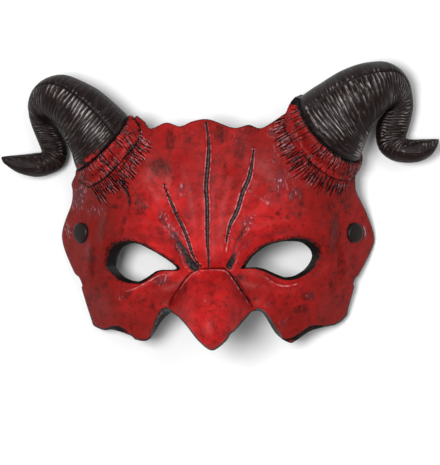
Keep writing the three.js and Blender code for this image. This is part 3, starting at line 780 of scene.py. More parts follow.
def skin_points(outer, eyes, lines):
    """Points of the front of the face: rings along its edges and a lattice, finer near carving."""
    border = np.vstack([outer, *eyes])
    rings = edge_rings(outer, 1)
    for eye in eyes:
        rings += edge_rings(eye, -1)
    depth = np.repeat(np.tile(RIM_RINGS, 1 + len(eyes)), [len(ring) for ring in rings])
    rings = np.vstack(rings)
    rings = rings[nearest(border, rings)[0] > depth * RING_SHARE]
    coarse, fine = lattice(SKIN_STEP), lattice(CARVED_STEP)
    loose = np.vstack([coarse[~detailed(coarse)], fine[detailed(fine)]])
    loose = loose[inside(outer, *loose.T)]
    loose = loose[nearest(border, loose)[0] > RIM_RINGS[-1] + RING_MARGIN]
    points = np.vstack([rings, loose])
    for line in lines:
        points = points[path_distance(line, *points.T)[0] > LINE_MARGIN]
    return points


def chain_edges(chains, closed):
    """Edges along chains of points that follow one another in one list; so many of the first are closed."""
    edges = []
    start = 0
    for k, chain in enumerate(chains):
        edges += [(start + i, start + i + 1) for i in range(len(chain) - 1)]
        if k < closed:
            edges.append((start + len(chain) - 1, start))
        start += len(chain)
    return edges


def fill_loops(points, edges, outer, holes, tolerance):
    """Triangles between flat points, inside one loop and outside others."""
    flat = [Vector(point) for point in points]
    places, _, triangles, *_ = delaunay_2d_cdt(flat, edges, [], 0, tolerance, False)
    places = np.array([tuple(place) for place in places])
    triangles = np.array(triangles)
    middle = places[triangles].mean(axis=1)
    kept = inside(outer, *middle.T)
    for hole in holes:
        kept &= ~inside(hole, *middle.T)
    return places, triangles[kept]


def add_object(name, data):
    made = bpy.data.objects.new(name, data)
    bpy.context.scene.collection.objects.link(made)
    return made


def write(mesh, label, values):
    """Gives a mesh a float for each vertex, under a name."""
    attribute = mesh.attributes.get(label) or mesh.attributes.new(label, "FLOAT", "POINT")
    attribute.data.foreach_set("value", np.array(values, np.float32))


def make_mesh(name, places, faces, marks):
    """A mesh object from places in millimetres; marks holds a row of the channels a place, or one for all."""
    mesh = bpy.data.meshes.new(name)
    mesh.from_pydata([tuple(place) for place in places * MM], [], faces)
    for label, values in zip(CHANNELS, np.broadcast_to(marks, (len(places), len(CHANNELS))).T):
        write(mesh, label, values)
    return add_object(name, mesh)


def face_block():
    """The face as a solid: its carved front, the cut edges and the leaning walls of the eyes."""
    outer = outline_loop()
    eyes = [smooth_line([*points, points[0]], EDGE_STEP)[:-1] for points in EYES]
    lines = [smooth_line(border, CARVED_STEP) for border, _ in CUT_BANDS]
    chains = [outer, *eyes, *lines]
    points = np.vstack([*chains, skin_points(outer, eyes, lines)])
    places, triangles = fill_loops(points, chain_edges(chains, 1 + len(eyes)), outer, eyes, 1e-5)
    used, triangles = np.unique(triangles, return_inverse=True)
    triangles = triangles.reshape(-1, 3)
    places = places[used]
    x, y = places.T
    skin = carve(x, y)
    height = front(x, y) + skin.height
    height += 0.22 * noise(places, 15) + 0.1 * noise(places, 5, 1)
    border = np.vstack([outer, *eyes])
    away, which = nearest(border, places)
    width = rim_width(y)
    roll = np.clip(1 - away / width, 0, 1)
    height -= width * (1 - np.sqrt(1 - roll**2)) * 0.8
    at_eye = which >= len(outer)
    over_eye = at_eye & (border[which, 1] > EYE_CORNERS)
    beside_eye = at_eye & (over_eye | (np.abs(border[which, 0] - FACE_MID) > EYE_BANDS_FROM))
    skin.mark(ink=ramp(roll, 0.25, 0.8) * np.where(over_eye, 0.5, 1))
    # Soft black on the skin beside the upper lids and outer ends: partly black paint, partly painted shade
    skin.mark(ink=np.where(beside_eye, EYE_HALO * fall(away, 0.3, EYE_HALO_REACH), 0))
    for line, (_, beyond) in zip(lines, CUT_BANDS):
        to_line = path_distance(line, x, y)[0]
        in_band = inside(np.vstack([line, beyond]), x, y) & (to_line > 1e-3)
        drop = (to_line / (to_line + away + 1e-6)) ** 0.85
        height -= np.where(in_band, CUT_DROP * drop, 0)
        height += np.where(in_band, 0.35 * noise(places, 1.1, 12) * (1 - drop), 0)
        skin.ink = np.where(in_band, 1.4, skin.ink)
        skin.light = np.where(in_band, 0, skin.light)
        # A grey band across the middle of each cut edge: partly grey foam cells, partly a painted sheen
        skin.fill = np.where(in_band, bell(drop - 0.42, 0.24), skin.fill)
    still = np.zeros(len(places))
    marks = np.column_stack([still + SKIN, skin.ink, skin.light, skin.fill, still, still])
    return close_block(places, triangles, height, marks, eyes)


def boundary_loops(triangles):
    """The open edges of a mesh as closed loops, in the direction of its faces."""
    pairs = np.vstack([triangles[:, [0, 1]], triangles[:, [1, 2]], triangles[:, [2, 0]]])
    keys = set(map(tuple, pairs))
    follow = {a: b for a, b in keys if (b, a) not in keys}
    loops = []
    while follow:
        start, at = follow.popitem()
        loop = [start]
        while at != start:
            loop.append(at)
            at = follow.pop(at)
        loops.append(loop)
    return loops


def leaned(rim, eye, depth):
    """A ring of an eye's wall: the rim drawn towards the middle, the more so the deeper it lies."""
    middle = np.mean(EYES[eye], axis=0)
    xs = [x for x, _ in EYES[eye]]
    outer = min(xs) if middle[0] < NOSE_MID else max(xs)
    outward = np.clip((rim[:, 0] - middle[0]) / (outer - middle[0]), 0, 1)
    lean = lerp(EYE_LEAN_INNER, EYE_LEAN_OUTER[eye], outward) * min(depth / EYE_LEAN_DEPTH, 1)
    ring = rim.copy()
    ring[:, :2] = lerp(ring[:, :2], middle, lean[:, None])
    ring[:, 2] += front(*ring[:, :2].T) - front(*rim[:, :2].T)
    return ring


def close_block(places, triangles, height, marks, eyes):
    """Adds walls and a floor under a front, so that it becomes a solid."""
    verts = [np.column_stack([places, height])]
    faces = triangles.tolist()
    marks = [marks]
    count = len(places)
    floors = []
    for loop in boundary_loops(triangles):
        rim = verts[0][loop]
        plan = rim[:, :2].mean(axis=0)
        around = [k for k, eye in enumerate(eyes) if inside(eye, *plan[:, None])[0]]
        is_eye = len(loop) < EYE_LOOP_MOST and around
        above = loop
        for depth in (*WALL_DEPTHS, None):
            ring = leaned(rim, around[0], depth or EYE_LEAN_DEPTH) if is_eye else rim.copy()
            if depth is None:
                ring[:, 2] = DEEP
            else:
                ring[:, 2] -= depth
                ring[:, :2] += 0.1 * np.column_stack([noise(ring, 1.3, 3), noise(ring, 1.3, 4)])
            below = list(range(count, count + len(loop)))
            count += len(loop)
            verts.append(ring)
            marks.append(np.tile(EYE_WALL if is_eye else PLAIN_EDGE, (len(loop), 1)))
            for k in range(len(loop)):
                n = (k + 1) % len(loop)
                faces.append((above[n], above[k], below[k], below[n]))
            above = below
        floors.append(above)
    verts = np.vstack(verts)
    floors.sort(key=len, reverse=True)
    outline, *holes = (verts[ring][:, :2] for ring in floors)
    index = np.concatenate(floors)
    _, cap = fill_loops(verts[index][:, :2], chain_edges(floors, len(floors)), outline, holes, 1e-7)
    faces += [(a, c, b) for a, b, c in index[cap].tolist()]
    return make_mesh("face_block", verts, faces, np.vstack(marks))


# Horns: ribs across the course and a parting line along it, given as angles at distances beyond the collar
RIB_PITCH = 1.5
RIB_SWING = 0.25
RIB_GROWTH = 1.2
RIBS = 200
RIB_DEPTH = 0.45
RIB_STEP = 0.37
TIP_STEP = 1.0
RIBBED_SHARE = 0.8
PARTING_DEPTH = 0.9
PARTING = {
    "left": [(0, 0.42), (25, 0.38), (42, 0.5), (56, 0.8), (200, 0.8)],
    "right": [(0, 0.72), (20, 0.66), (35, 0.62), (50, 0.75), (62, 0.9), (200, 0.9)],
}
PARTING_FADE = {"left": (38, 54), "right": (44, 62)}
# Dry-brushed grey and painted highlights on a horn: overall, below the parting line, on the inner edge and on
# the curl
BRUSH_AND_HIGHLIGHT = {"left": (0.24, 0.55, 0.9, 0.5), "right": (0.44, 0.35, 2.2, 0.7)}
# Angles of a horn's columns, from the parting line
HORN_COLUMNS = np.concatenate([
    np.arange(-2.2, -0.1, 0.085), (-0.09, -0.045, -0.02, 0, 0.02, 0.045, 0.09),
    np.arange(0.17, 0.9, 0.1), np.linspace(0.95, 2 * math.pi - 2.3, 21),
])


def stations(stops, columns):
    """Distance along a horn and angle of a tube's places: a ring a stop, then the middle of both ends."""
    s = np.concatenate([np.repeat(stops, columns.shape[1]), stops[[0, -1]]])
    return s, np.concatenate([columns.ravel(), np.zeros(2)])


def tube(name, places, across, marks, flip=False):
    """A closed mesh from rings of so many places, one after another, and a last place for either end."""
    count = len(places) - 2
    faces = []
    for j in range(across):
        k = (j + 1) % across
        faces += [(a + j, a + k, a + across + k, a + across + j) for a in range(0, count - across, across)]
        faces += [(count, k, j), (count + 1, count - across + j, count - across + k)]
    if flip:
        faces = [face[::-1] for face in faces]
    return make_mesh(name, places, faces, marks)


def round_spot(s, angle, radius):
    """Places for noise round a horn: the distance along it, and a circle."""
    return np.column_stack([s, np.sin(angle) * radius, np.cos(angle) * radius])


def centred(angle):
    """An angle brought between -180 and 180 degrees."""
    return (angle + math.pi) % (2 * math.pi) - math.pi


def dry_brush_and_highlight(side, out, angle, beyond):
    """Dry-brushed grey and painted highlights on a horn, at distances out of the collar and angles beyond the
    parting line.
    """
    facing = ramp(beyond, -1.9, -0.9) * fall(beyond, 0, 0.12)
    below_line = bell(beyond + 0.3, 0.28)
    above_line = bell(beyond - 0.09, 0.05) * fall(out, 25, 40)
    inner_side = bell(angle + 1.3, 0.2) * ramp(out, 2, 6) * fall(out, 34, 44)
    curl = bell(angle + 0.6, 0.22) * ramp(out, 58, 64) * fall(out, 80, 90)
    plain, line, edge, turn = BRUSH_AND_HIGHLIGHT[side]
    brush_and_highlight = facing * (plain + line * below_line * (1 - 0.8 * ramp(out, 45, 58)))
    brush_and_highlight += 0.6 * above_line + edge * inner_side + turn * curl
    total = HORNS[side].total
    return brush_and_highlight * (1 - 0.2 * ramp(out, 0.45 * total, 0.7 * total))


def horn_bar(side):
    """The dark horn itself, ribbed in front and smoother above the parting line."""
    horn = HORNS[side]
    ribbed = lerp(horn.edge, horn.total, RIBBED_SHARE)
    stops = np.concatenate([
        horn.edge + np.array([-3, -1.5, -0.5, 0]),
        np.arange(horn.edge + 0.35, ribbed, RIB_STEP),
        np.arange(ribbed, horn.total - 0.3, TIP_STEP),
        [horn.total],
    ])
    parting = np.interp(stops - horn.edge, *np.array(PARTING[side]).T)
    s, angle = stations(stops, parting[:, None] + HORN_COLUMNS)
    out = s - horn.edge
    half = horn.half(s)
    beyond = centred(angle - np.interp(out, *np.array(PARTING[side]).T))
    spot = round_spot(s, angle, 14)
    numbers = np.arange(float(RIBS))
    pitches = RIB_PITCH * lerp(1, RIB_GROWTH, ramp(numbers, 5, 11))
    grooves = horn.edge + np.cumsum(pitches * (1 + rng.uniform(-RIB_SWING, RIB_SWING, RIBS)))
    phase = np.interp(s, grooves, numbers) + 0.42 * noise(spot, 7) + 0.2 * noise(spot, 3, 1)
    crest = np.abs(np.sin(math.pi * phase)) ** 0.6
    # Ribs are shallower inside a bend, above the parting line, behind and towards the tip
    ahead = np.linalg.norm(horn.place(s + 0.5, half, angle) - horn.place(s - 0.5, half, angle), axis=1)
    amount = ramp(ahead, 0.12, 0.6) * (0.75 + 0.35 * noise(spot, 6, 2))
    amount *= 1 - 0.75 * ramp(beyond, 0.05, 0.3) * fall(beyond, 1.6, 2.4)
    amount *= 1 - 0.5 * ramp(-beyond, 1.9, 2.4)
    amount *= 1 - 0.8 * ramp(s, lerp(ribbed, horn.total, -0.35), lerp(ribbed, horn.total, 0.2))
    cut = bell(beyond * half, 0.6) * fall(out, *PARTING_FADE[side])
    relief = RIB_DEPTH * amount * (crest - 0.75) - PARTING_DEPTH * cut
    relief += 0.3 * noise(spot, 11, 3) * ramp(half, 1, 8)
    streaks = 0.14 * noise(round_spot(s / 6, angle, 9), 1.2, 4)
    relief += streaks * ramp(s, ribbed - 20, ribbed) * ramp(half, 1, 4)
    root = fall(out, 0, 1.1)
    radius = np.maximum(half + relief * (1 - root) - root, 0.3)
    radius[-2:] = 0
    brush_and_highlight = dry_brush_and_highlight(side, out, angle, beyond) * lerp(0.2, 1.1, ramp(crest, 0.84, 0.995))
    brush_and_highlight *= (0.8 + 0.7 * noise(spot, 6, 5)) * (1 - cut)
    in_groove = fall(crest, 0.15, 0.6) * np.clip(amount, 0, 1) * 0.8
    ink = np.maximum.reduce([cut, in_groove, fall(out, 0.2, 1.4)])
    nothing = np.zeros(len(s))
    tip = ramp(s, ribbed - 6, ribbed + 4)
    along = s - 0.85 * tip * (s - ribbed)
    around = half * angle * (1 + 8 * tip)
    marks = np.column_stack([nothing + HORN, ink, nothing, np.clip(brush_and_highlight, 0, 1), along, around])
    return tube(f"horn_{side}", horn.place(s, radius, angle), len(HORN_COLUMNS), marks, horn.turn < 0)


# Collars of wrinkled skin: rings of a distance behind the horn's edge and a swell over the horn
COLLAR_RINGS = [
    (19, -12), (17, -9), (15.5, -6), (14.5, -3.5), (13.8, -1.6), (13, -0.3), (12, 0.6), (11, 1), (10, 1.3),
    (8.6, 1.6), (6.6, 1.9), (4.4, 2.1), (2.6, 2.1), (1.4, 2), (0.6, 1.4), (0.1, 0.3), (-0.2, -1.2),
    (-0.1, -3),
]
COLLAR_FRONT = 1.6
COLLAR_COLUMNS = np.concatenate([
    np.arange(-2.2, -COLLAR_FRONT, 0.04), np.arange(-COLLAR_FRONT, COLLAR_FRONT, 0.018),
    np.arange(COLLAR_FRONT, 2.2, 0.04), np.linspace(2.25, 2 * math.pi - 2.25, 16),
])
CREASE_BEHIND = 10.6
CREASE_FURTHER = 2
COLLAR_LIP = 1.2
COLLAR_TOP = 55.5
WRINKLES = 200
WRINKLES_AT_HORN = 0.55
WRINKLE_HALF = 0.34
WRINKLE_DEPTH = 0.9


def wrinkles(side, back_by, half, angle):
    """How far each place of a collar is cut by a wrinkle, and how far it is on a ridge beside one."""
    at = np.linspace(-math.pi, math.pi, WRINKLES, endpoint=False) + rng.uniform(-0.04, 0.04, WRINKLES)
    at_horn = rng.uniform(0, 1, WRINKLES) < WRINKLES_AT_HORN
    first = np.where(at_horn, rng.uniform(3, 9, WRINKLES), 14)
    last = np.where(at_horn, -0.5, rng.uniform(3, 9.5, WRINKLES))
    strength = rng.uniform(0.45, 1, WRINKLES) * np.clip(1 + noise(at[:, None] * [5, 0], 1, 13), 0.45, 1)
    cut, ridge = np.zeros((2, len(angle)))
    for a, top, bottom, deep in zip(at, first, last, strength):
        facing = math.sin(a) if abs(a) < math.pi / 2 else 0
        slant = HORNS[side].turn * math.tan(math.radians(at_stroke(STROKE_TURN[side], facing)))
        turn = a + 0.01 * np.sin(back_by + a * 40) + slant * (back_by - 6) / half
        away = np.abs(centred(angle - turn)) * half
        along = ramp(back_by, bottom - 1, bottom + 1) * fall(back_by, top - 1, top + 1)
        cut = np.maximum(cut, deep * along * fall(away, 0.1, WRINKLE_HALF * 2))
        ridge = np.maximum(ridge, deep * along * bell(away - 0.75, 0.25))
    return cut, ridge


def collar_bar(side):
    """The collar that a horn stands in; its front lies on the skin and ends in a lip and a crease."""
    horn = HORNS[side]
    behind, swell = np.array(COLLAR_RINGS).T
    halfway = np.arange(0, len(behind) - 0.5, 0.5)
    rings, swells = (np.interp(halfway, np.arange(len(behind)), values) for values in (behind, swell))
    s, angle = stations(horn.edge - rings, np.tile(COLLAR_COLUMNS, (len(rings), 1)))
    back_by = horn.edge - s
    half = horn.half(s)
    cut, ridge = wrinkles(side, back_by, half, angle)
    spot = round_spot(s, angle, 18)
    lumps = 0.5 * noise(spot, 6, 6) + 0.3 * noise(spot, 2.4, 7)
    swells = np.concatenate([np.repeat(swells, len(COLLAR_COLUMNS)), np.zeros(2)])
    radius = half + swells - WRINKLE_DEPTH * cut + 0.2 * ridge + lumps
    radius[-2:] = 0
    places = horn.place(s, radius, angle)
    crease = CREASE_BEHIND + CREASE_FURTHER * ramp(angle, 0.2, 1.1)
    facing = ramp(np.cos(angle), -0.02, 0.15)
    facing[-2:] = 0
    skin = front(*places[:, :2].T)
    laid = skin + COLLAR_LIP - 0.5 * cut + 0.3 * noise(places, 3, 10)
    dive = (COLLAR_LIP + 3) * ramp(back_by, crease - 0.4, crease + 1.2) * facing
    settled = lerp(places[:, 2], laid, ramp(back_by, 3, crease - 1) * facing)
    sunk = np.maximum(skin + 0.9 - 0.3 * cut - settled, 0)
    places[:, 2] = settled + facing * fall(back_by, crease - 1, crease) * sunk - dive
    ends = 0.4 * ramp(np.abs(angle), 0.6, 1.3)
    top = ramp(horn.place(s, half, angle)[:, 1], COLLAR_TOP - 1, COLLAR_TOP + 1)
    ink = np.maximum.reduce([1.25 * cut, fall(back_by, 0, 0.7), ends, 1.3 * top])
    nothing = np.zeros(len(s))
    # Painted highlights on the ridges beside the wrinkles
    marks = np.column_stack([nothing + COLLAR, ink, 0.45 * ridge * (1 - top), nothing, s, half * angle])
    return tube(f"collar_{side}", places, len(COLLAR_COLUMNS), marks, horn.turn < 0)


def grid_lines(stops):
    """Grid lines from stops of a place and the step that leads to it."""
    lines = [stops[0][0]]
    for (start, _), (end, step) in zip(stops, stops[1:]):
        lines += list(np.linspace(start, end, max(round((end - start) / step), 1) + 1)[1:])
    return np.array(lines)


BACK_X = [(-98, 0), (-34, 2), (28, 1.1), (96, 2)]
BACK_Y = [(-88, 0), (-30, 1.2), (92, 2.2)]


def back_block():
    """The hollow side as a block, to cut it away with."""
    xs, ys = grid_lines(BACK_X), grid_lines(BACK_Y)
    columns, rows = len(xs), len(ys)
    x, y = (g.ravel() for g in np.meshgrid(xs, ys))
    plan = np.column_stack([x, y])
    height = back(x, y) + 0.25 * noise(plan, 9, 8) + 0.1 * noise(plan, 3, 9)
    for path, *_ in FURROWS:
        height -= 0.5 * bell(near_line(path, x, y, ROUGH_STEP)[0], 3)
    top = np.column_stack([x, y, height])
    border = [
        *range(columns), *range(2 * columns - 1, rows * columns, columns),
        *range(rows * columns - 2, (rows - 1) * columns - 1, -1), *range((rows - 2) * columns, 0, -columns),
    ]
    low = top[border]
    low[:, 2] = DEEPER
    faces = []
    for j in range(rows - 1):
        for i in range(columns - 1):
            a = j * columns + i
            faces.append((a, a + 1, a + columns + 1, a + columns))
    base = len(top)
    for k, a in enumerate(border):
        n = (k + 1) % len(border)
        faces.append((border[n], a, base + k, base + n))
    faces.append(tuple(base + k for k in range(len(border) - 1, -1, -1)))
    return make_mesh("back_block", np.vstack([top, low]), faces, PLAIN_INSIDE)


def lathe(name, profile, sides, move):
    """A closed turned form from a profile of radius and height that starts and ends on the axis."""
    places = []
    for radius, height in profile[1:-1]:
        for angle in np.linspace(0, 2 * math.pi, sides, endpoint=False):
            places.append((radius * math.cos(angle), radius * math.sin(angle), height))
    places += [(0, 0, height) for _, height in (profile[0], profile[-1])]
    return tube(name, np.array([move @ Vector(place) for place in places]), sides, PLAIN_EDGE)


def on_skin(place):
    """Turns a form made along +Z to stand on the skin at a stud's place."""
    x, y = (np.array([value]) for value in place)
    slope_x, slope_y = round_slope(x, y)
    normal = Vector((-slope_x[0], -slope_y[0], 1)).normalized()
    turn = Vector((0, 0, 1)).rotation_difference(normal).to_matrix().to_4x4()
    turn.translation = (*place, round_of_face(x, y)[0])
    return turn


def stud_bore(name, place):
    bore = STUD_SHANK_RADIUS + STUD_GAP
    seat = STUD_HEAD_RADIUS + STUD_GAP
    profile = [
        (0, -3 * FOAM), (seat, -3 * FOAM), (seat, -FOAM), (bore, -FOAM),
        (bore, 0), (seat, 0), (seat, FOAM), (0, FOAM),
    ]
    return lathe(f"{name}_bore", profile, BORE_SIDES, on_skin(place))


def table_block():
    low = [(-TABLE, -TABLE), (TABLE, -TABLE), (TABLE, TABLE), (-TABLE, TABLE)]
    places = np.array([(x, y, z) for z in (-TABLE, 0) for x, y in low], float)
    faces = [(3, 2, 1, 0), (4, 5, 6, 7), (0, 1, 5, 4), (1, 2, 6, 5), (2, 3, 7, 6), (3, 0, 4, 7)]
    return make_mesh("table_block", places, faces, PLAIN_EDGE)


def combine(piece, operation, tool):
    """Joins a tool to a piece or cuts it away, and deletes the tool."""
    modifier = piece.modifiers.new("cut", "BOOLEAN")
    modifier.operation = operation
    modifier.solver = "MANIFOLD"
    modifier.object = tool
    bpy.context.view_layer.update()
    made = bpy.data.meshes.new_from_object(piece.evaluated_get(bpy.context.evaluated_depsgraph_get()))
    piece.modifiers.clear()
    piece.data = made
    bpy.data.objects.remove(tool)


def read(mesh, label):
    values = np.zeros(len(mesh.vertices), np.float32)
    mesh.attributes[label].data.foreach_get("value", values)
    return values.astype(float)


def vertex_places(mesh):
    flat = np.zeros(len(mesh.vertices) * 3, np.float32)
    mesh.vertices.foreach_get("co", flat)
    return flat.reshape(-1, 3).astype(float) / MM


def clean(mesh):
    """Welds the slivers that cutting leaves, and drops pairs of faces folded onto one another."""
    shape = bmesh.new()
    shape.from_mesh(mesh)
    bmesh.ops.remove_doubles(shape, verts=shape.verts, dist=WELD * MM)
    bmesh.ops.dissolve_degenerate(shape, edges=shape.edges, dist=WELD * MM)
    bmesh.ops.triangulate(shape, faces=[f for f in shape.faces if len(f.verts) > 3])
    shape.verts.index_update()
    corners = {}
    for face in shape.faces:
        corners.setdefault(frozenset(vert.index for vert in face.verts), []).append(face)
    folded = [face for faces in corners.values() if len(faces) > 1 for face in faces]
    bmesh.ops.delete(shape, geom=folded, context="FACES")
    shape.to_mesh(mesh)
    shape.free()


def cast_mask():
    """The cast foam: the face with its collars and horns, hollow behind."""
    cast = face_block()
    for side in HORNS:
        combine(cast, "UNION", collar_bar(side))
        combine(cast, "UNION", horn_bar(side))
    combine(cast, "DIFFERENCE", back_block())
    for name, place in STUDS.items():
        combine(cast, "DIFFERENCE", stud_bore(name, place))
    combine(cast, "DIFFERENCE", table_block())
    clean(cast.data)
    return cast


def patches(rows, x, y):
    """How much of each place some soft-edged oval patches cover."""
    cover = np.zeros(x.shape)
    for middle_x, middle_y, half_x, half_y, tilt, strength in rows:
        turn = math.radians(tilt)
        dx, dy = x - middle_x, y - middle_y
        across = (dx * math.cos(turn) + dy * math.sin(turn)) / half_x
        up = (dy * math.cos(turn) - dx * math.sin(turn)) / half_y
        cover = np.maximum(cover, strength * fall(np.hypot(across, up), 0.3, 1.35))
    return cover


# Deeper red on the cheeks beside the nose
CHEEKS = [(22, -46), (-30, -52)]
CHEEK_REACH = 13

# Red flecks on the foot of the left horn
FLECKS_AT = (-72, 22)
FLECKS_REACH = 8

# Black that settles where two forms meet: on one, towards another, and how far
SETTLED = [
    (SKIN, COLLAR, 1.3), (COLLAR, SKIN, 1.3), (HORN, COLLAR, 0.9), (COLLAR, HORN, 0.7), (SKIN, HORN, 1.2),
]
HORNS_ABOVE = -15
HORNS_BEYOND = 20
FAR = 99.0


def shade_of(kind, x, y):
    """How deep the red is: partly painted shade where the flanks, the jaw and the forehead towards the horns
    turn from the light, partly deeper red paint there and on the cheeks.
    """
    off_middle = np.abs(x - FACE_MID)
    shade = np.maximum.reduce([
        ramp(off_middle, 30, 66) * fall(y, 10, 40),
        0.8 * fall(y, -66, -44) * ramp(np.abs(x - NOSE_MID), 20, 34),
        lerp(0.5, 0.75, ramp(x, 0, 30)) * ramp(y, -8, 22),
        *(0.7 * bell(np.hypot(x - at[0], y - at[1]), CHEEK_REACH) for at in CHEEKS),
        0.5 * ramp(-x, 50, 66) * ramp(y, -20, 0),
    ])
    shade = shade * lerp(1, 0.75, ramp(x, 40, 70))
    shade = np.where(kind == COLLAR, lerp(0.3, 0.9, ramp(off_middle, 62, 76)), shade)
    return np.where(kind == EDGE, 1, shade)


def paint_marks(mesh):
    """Fills the marks of vertices where two forms meet, and adds the marks that only the paint needs."""
    places = vertex_places(mesh)
    values = np.column_stack([read(mesh, label) for label in CHANNELS])
    known = (values[:, 0] > 0.5) & (np.abs(values[:, 0] - np.round(values[:, 0])) < 1e-3)
    values[~known] = values[known][nearest(places[known], places[~known])[1]]
    kind, ink, light, brush_and_highlight, along, around = values.T
    kind = np.round(kind)
    x, y, _ = places.T
    near_horns = (y > HORNS_ABOVE) & (np.abs(x) > HORNS_BEYOND)

    def way_to(other, mine):
        return nearest(places[near_horns & (kind == other)], places[mine])[0]

    for one, other, width in SETTLED:
        mine = near_horns & (kind == one)
        reach = width * (0.9 + 0.5 * noise(places[mine], 9, 14))
        ink[mine] = np.maximum(ink[mine], fall(way_to(other, mine), 0.35 * reach, 1.3 * reach))
    to_collar = np.full(len(x), FAR)
    to_collar[near_horns] = way_to(COLLAR, near_horns)
    on_horn = kind == HORN
    skin = (kind == SKIN) | (kind == COLLAR)
    fleck = bell(to_collar - 2.2, 1.2) * bell(np.hypot(x - FLECKS_AT[0], y - FLECKS_AT[1]), FLECKS_REACH)
    smoky = lerp(0.32, 0.48, ramp(x, 0, 30)) * fall(to_collar, 4, 12)
    marks = {
        "horn": on_horn, "bare": kind == INSIDE, "fleck": fleck * on_horn,
        "wash": np.where(kind == EDGE, 1, np.maximum(patches(WASH, x, y), smoky) * skin),
        "worn": patches(WORN, x, y) * skin, "shade": shade_of(kind, x, y), "ink": ink, "light": light,
        "brush_and_highlight": brush_and_highlight * on_horn, "fill": brush_and_highlight * ~on_horn, "along": along, "around": around,
    }
    for label, amounts in marks.items():
        write(mesh, label, amounts)
    mesh.attributes.remove(mesh.attributes["kind"])


def smooth_shading(mesh, angle):
    mesh.shade_smooth()
    mesh.set_sharp_from_angle(angle=math.radians(angle))


class Paint:
    """A new material and its nodes; most methods add a node and give its output."""

    def __init__(self, name):
        self.material = bpy.data.materials.new(name)
        self.material.use_nodes = True
        self.tree = self.material.node_tree
        self.place = self.node("TexCoord", output="Object")

    def fill(self, node, inputs):
        """Sets a node's inputs, each to a number, a colour or another node's output."""
        for key, value in inputs.items():
            if isinstance(value, bpy.types.NodeSocket):
                self.tree.links.new(value, node.inputs[key])
            else:
                node.inputs[key].default_value = value

    def node(self, kind, inputs=None, output=0, **settings):
        made = self.tree.nodes.new("ShaderNode" + kind)
        for key, value in settings.items():
            setattr(made, key, value)
        self.fill(made, inputs or {})
        return made.outputs[output]

    def attribute(self, name):
        return self.node("Attribute", output="Fac", attribute_name=name)

    def noise(self, scale, detail=3, rough=0.5, at=None):
        inputs = {"Vector": at or self.place, "Scale": scale, "Detail": detail, "Roughness": rough}
        return self.node("TexNoise", inputs, "Fac")

    def stretched(self, at, scale):
        return self.node("Mapping", {"Vector": at, "Scale": scale})

    def spread(self, value, low, high, to_low=0.0, to_high=1.0):
        return self.node("MapRange", {0: value, 1: low, 2: high, 3: to_low, 4: to_high})

    def plus(self, a, b):
        return self.node("Math", {0: a, 1: b}, operation="ADD")

    def times(self, a, *others):
        for b in others:
            a = self.node("Math", {0: a, 1: b}, operation="MULTIPLY")
        return a

    def blend(self, amount, a, b):
        return self.node("Mix", {0: amount, 6: a, 7: b}, 2, data_type="RGBA")

    def bump(self, height, strength, distance, over=None):
        inputs = {"Height": height, "Strength": strength, "Distance": distance}
        return self.node("Bump", {**inputs, "Normal": over} if over else inputs)

    def finish(self, colour, rough, normal, specular):
        inputs = {"Base Color": colour, "Roughness": rough, "Normal": normal, "Specular IOR Level": specular}
        self.fill(self.tree.nodes["Principled BSDF"], inputs)
        return self.material


BRIGHT = (0.50, 0.0140, 0.0150, 1)
DEEP_RED = (0.27, 0.0045, 0.0045, 1)
# Deeper red that also carries painted shade on the flanks, the jaw and the forehead
FLANK_SHADE = (0.168, 0.0070, 0.0052, 1)
SMOKE = (0.088, 0.0050, 0.0036, 1)
HAZE = (0.22, 0.015, 0.018, 1)
STAIN = (0.034, 0.0045, 0.0032, 1)
BLACK = (0.0045, 0.0032, 0.0031, 1)
GREY = (0.115, 0.095, 0.098, 1)
VIOLET = (0.082, 0.026, 0.034, 1)
PINK = (0.60, 0.26, 0.28, 1)
CHARCOAL = (0.0150, 0.0070, 0.0062, 1)
HORN_DARK = (0.0050, 0.0030, 0.0030, 1)
RUBBED = (0.050, 0.036, 0.036, 1)
BRUSH_GREY_AND_HIGHLIGHT = (0.37, 0.33, 0.325, 1)
RAW = (0.024, 0.022, 0.022, 1)
STUD_BROWN = (0.007, 0.0045, 0.0038, 1)
STUD_PALE = (0.014, 0.0085, 0.0070, 1)


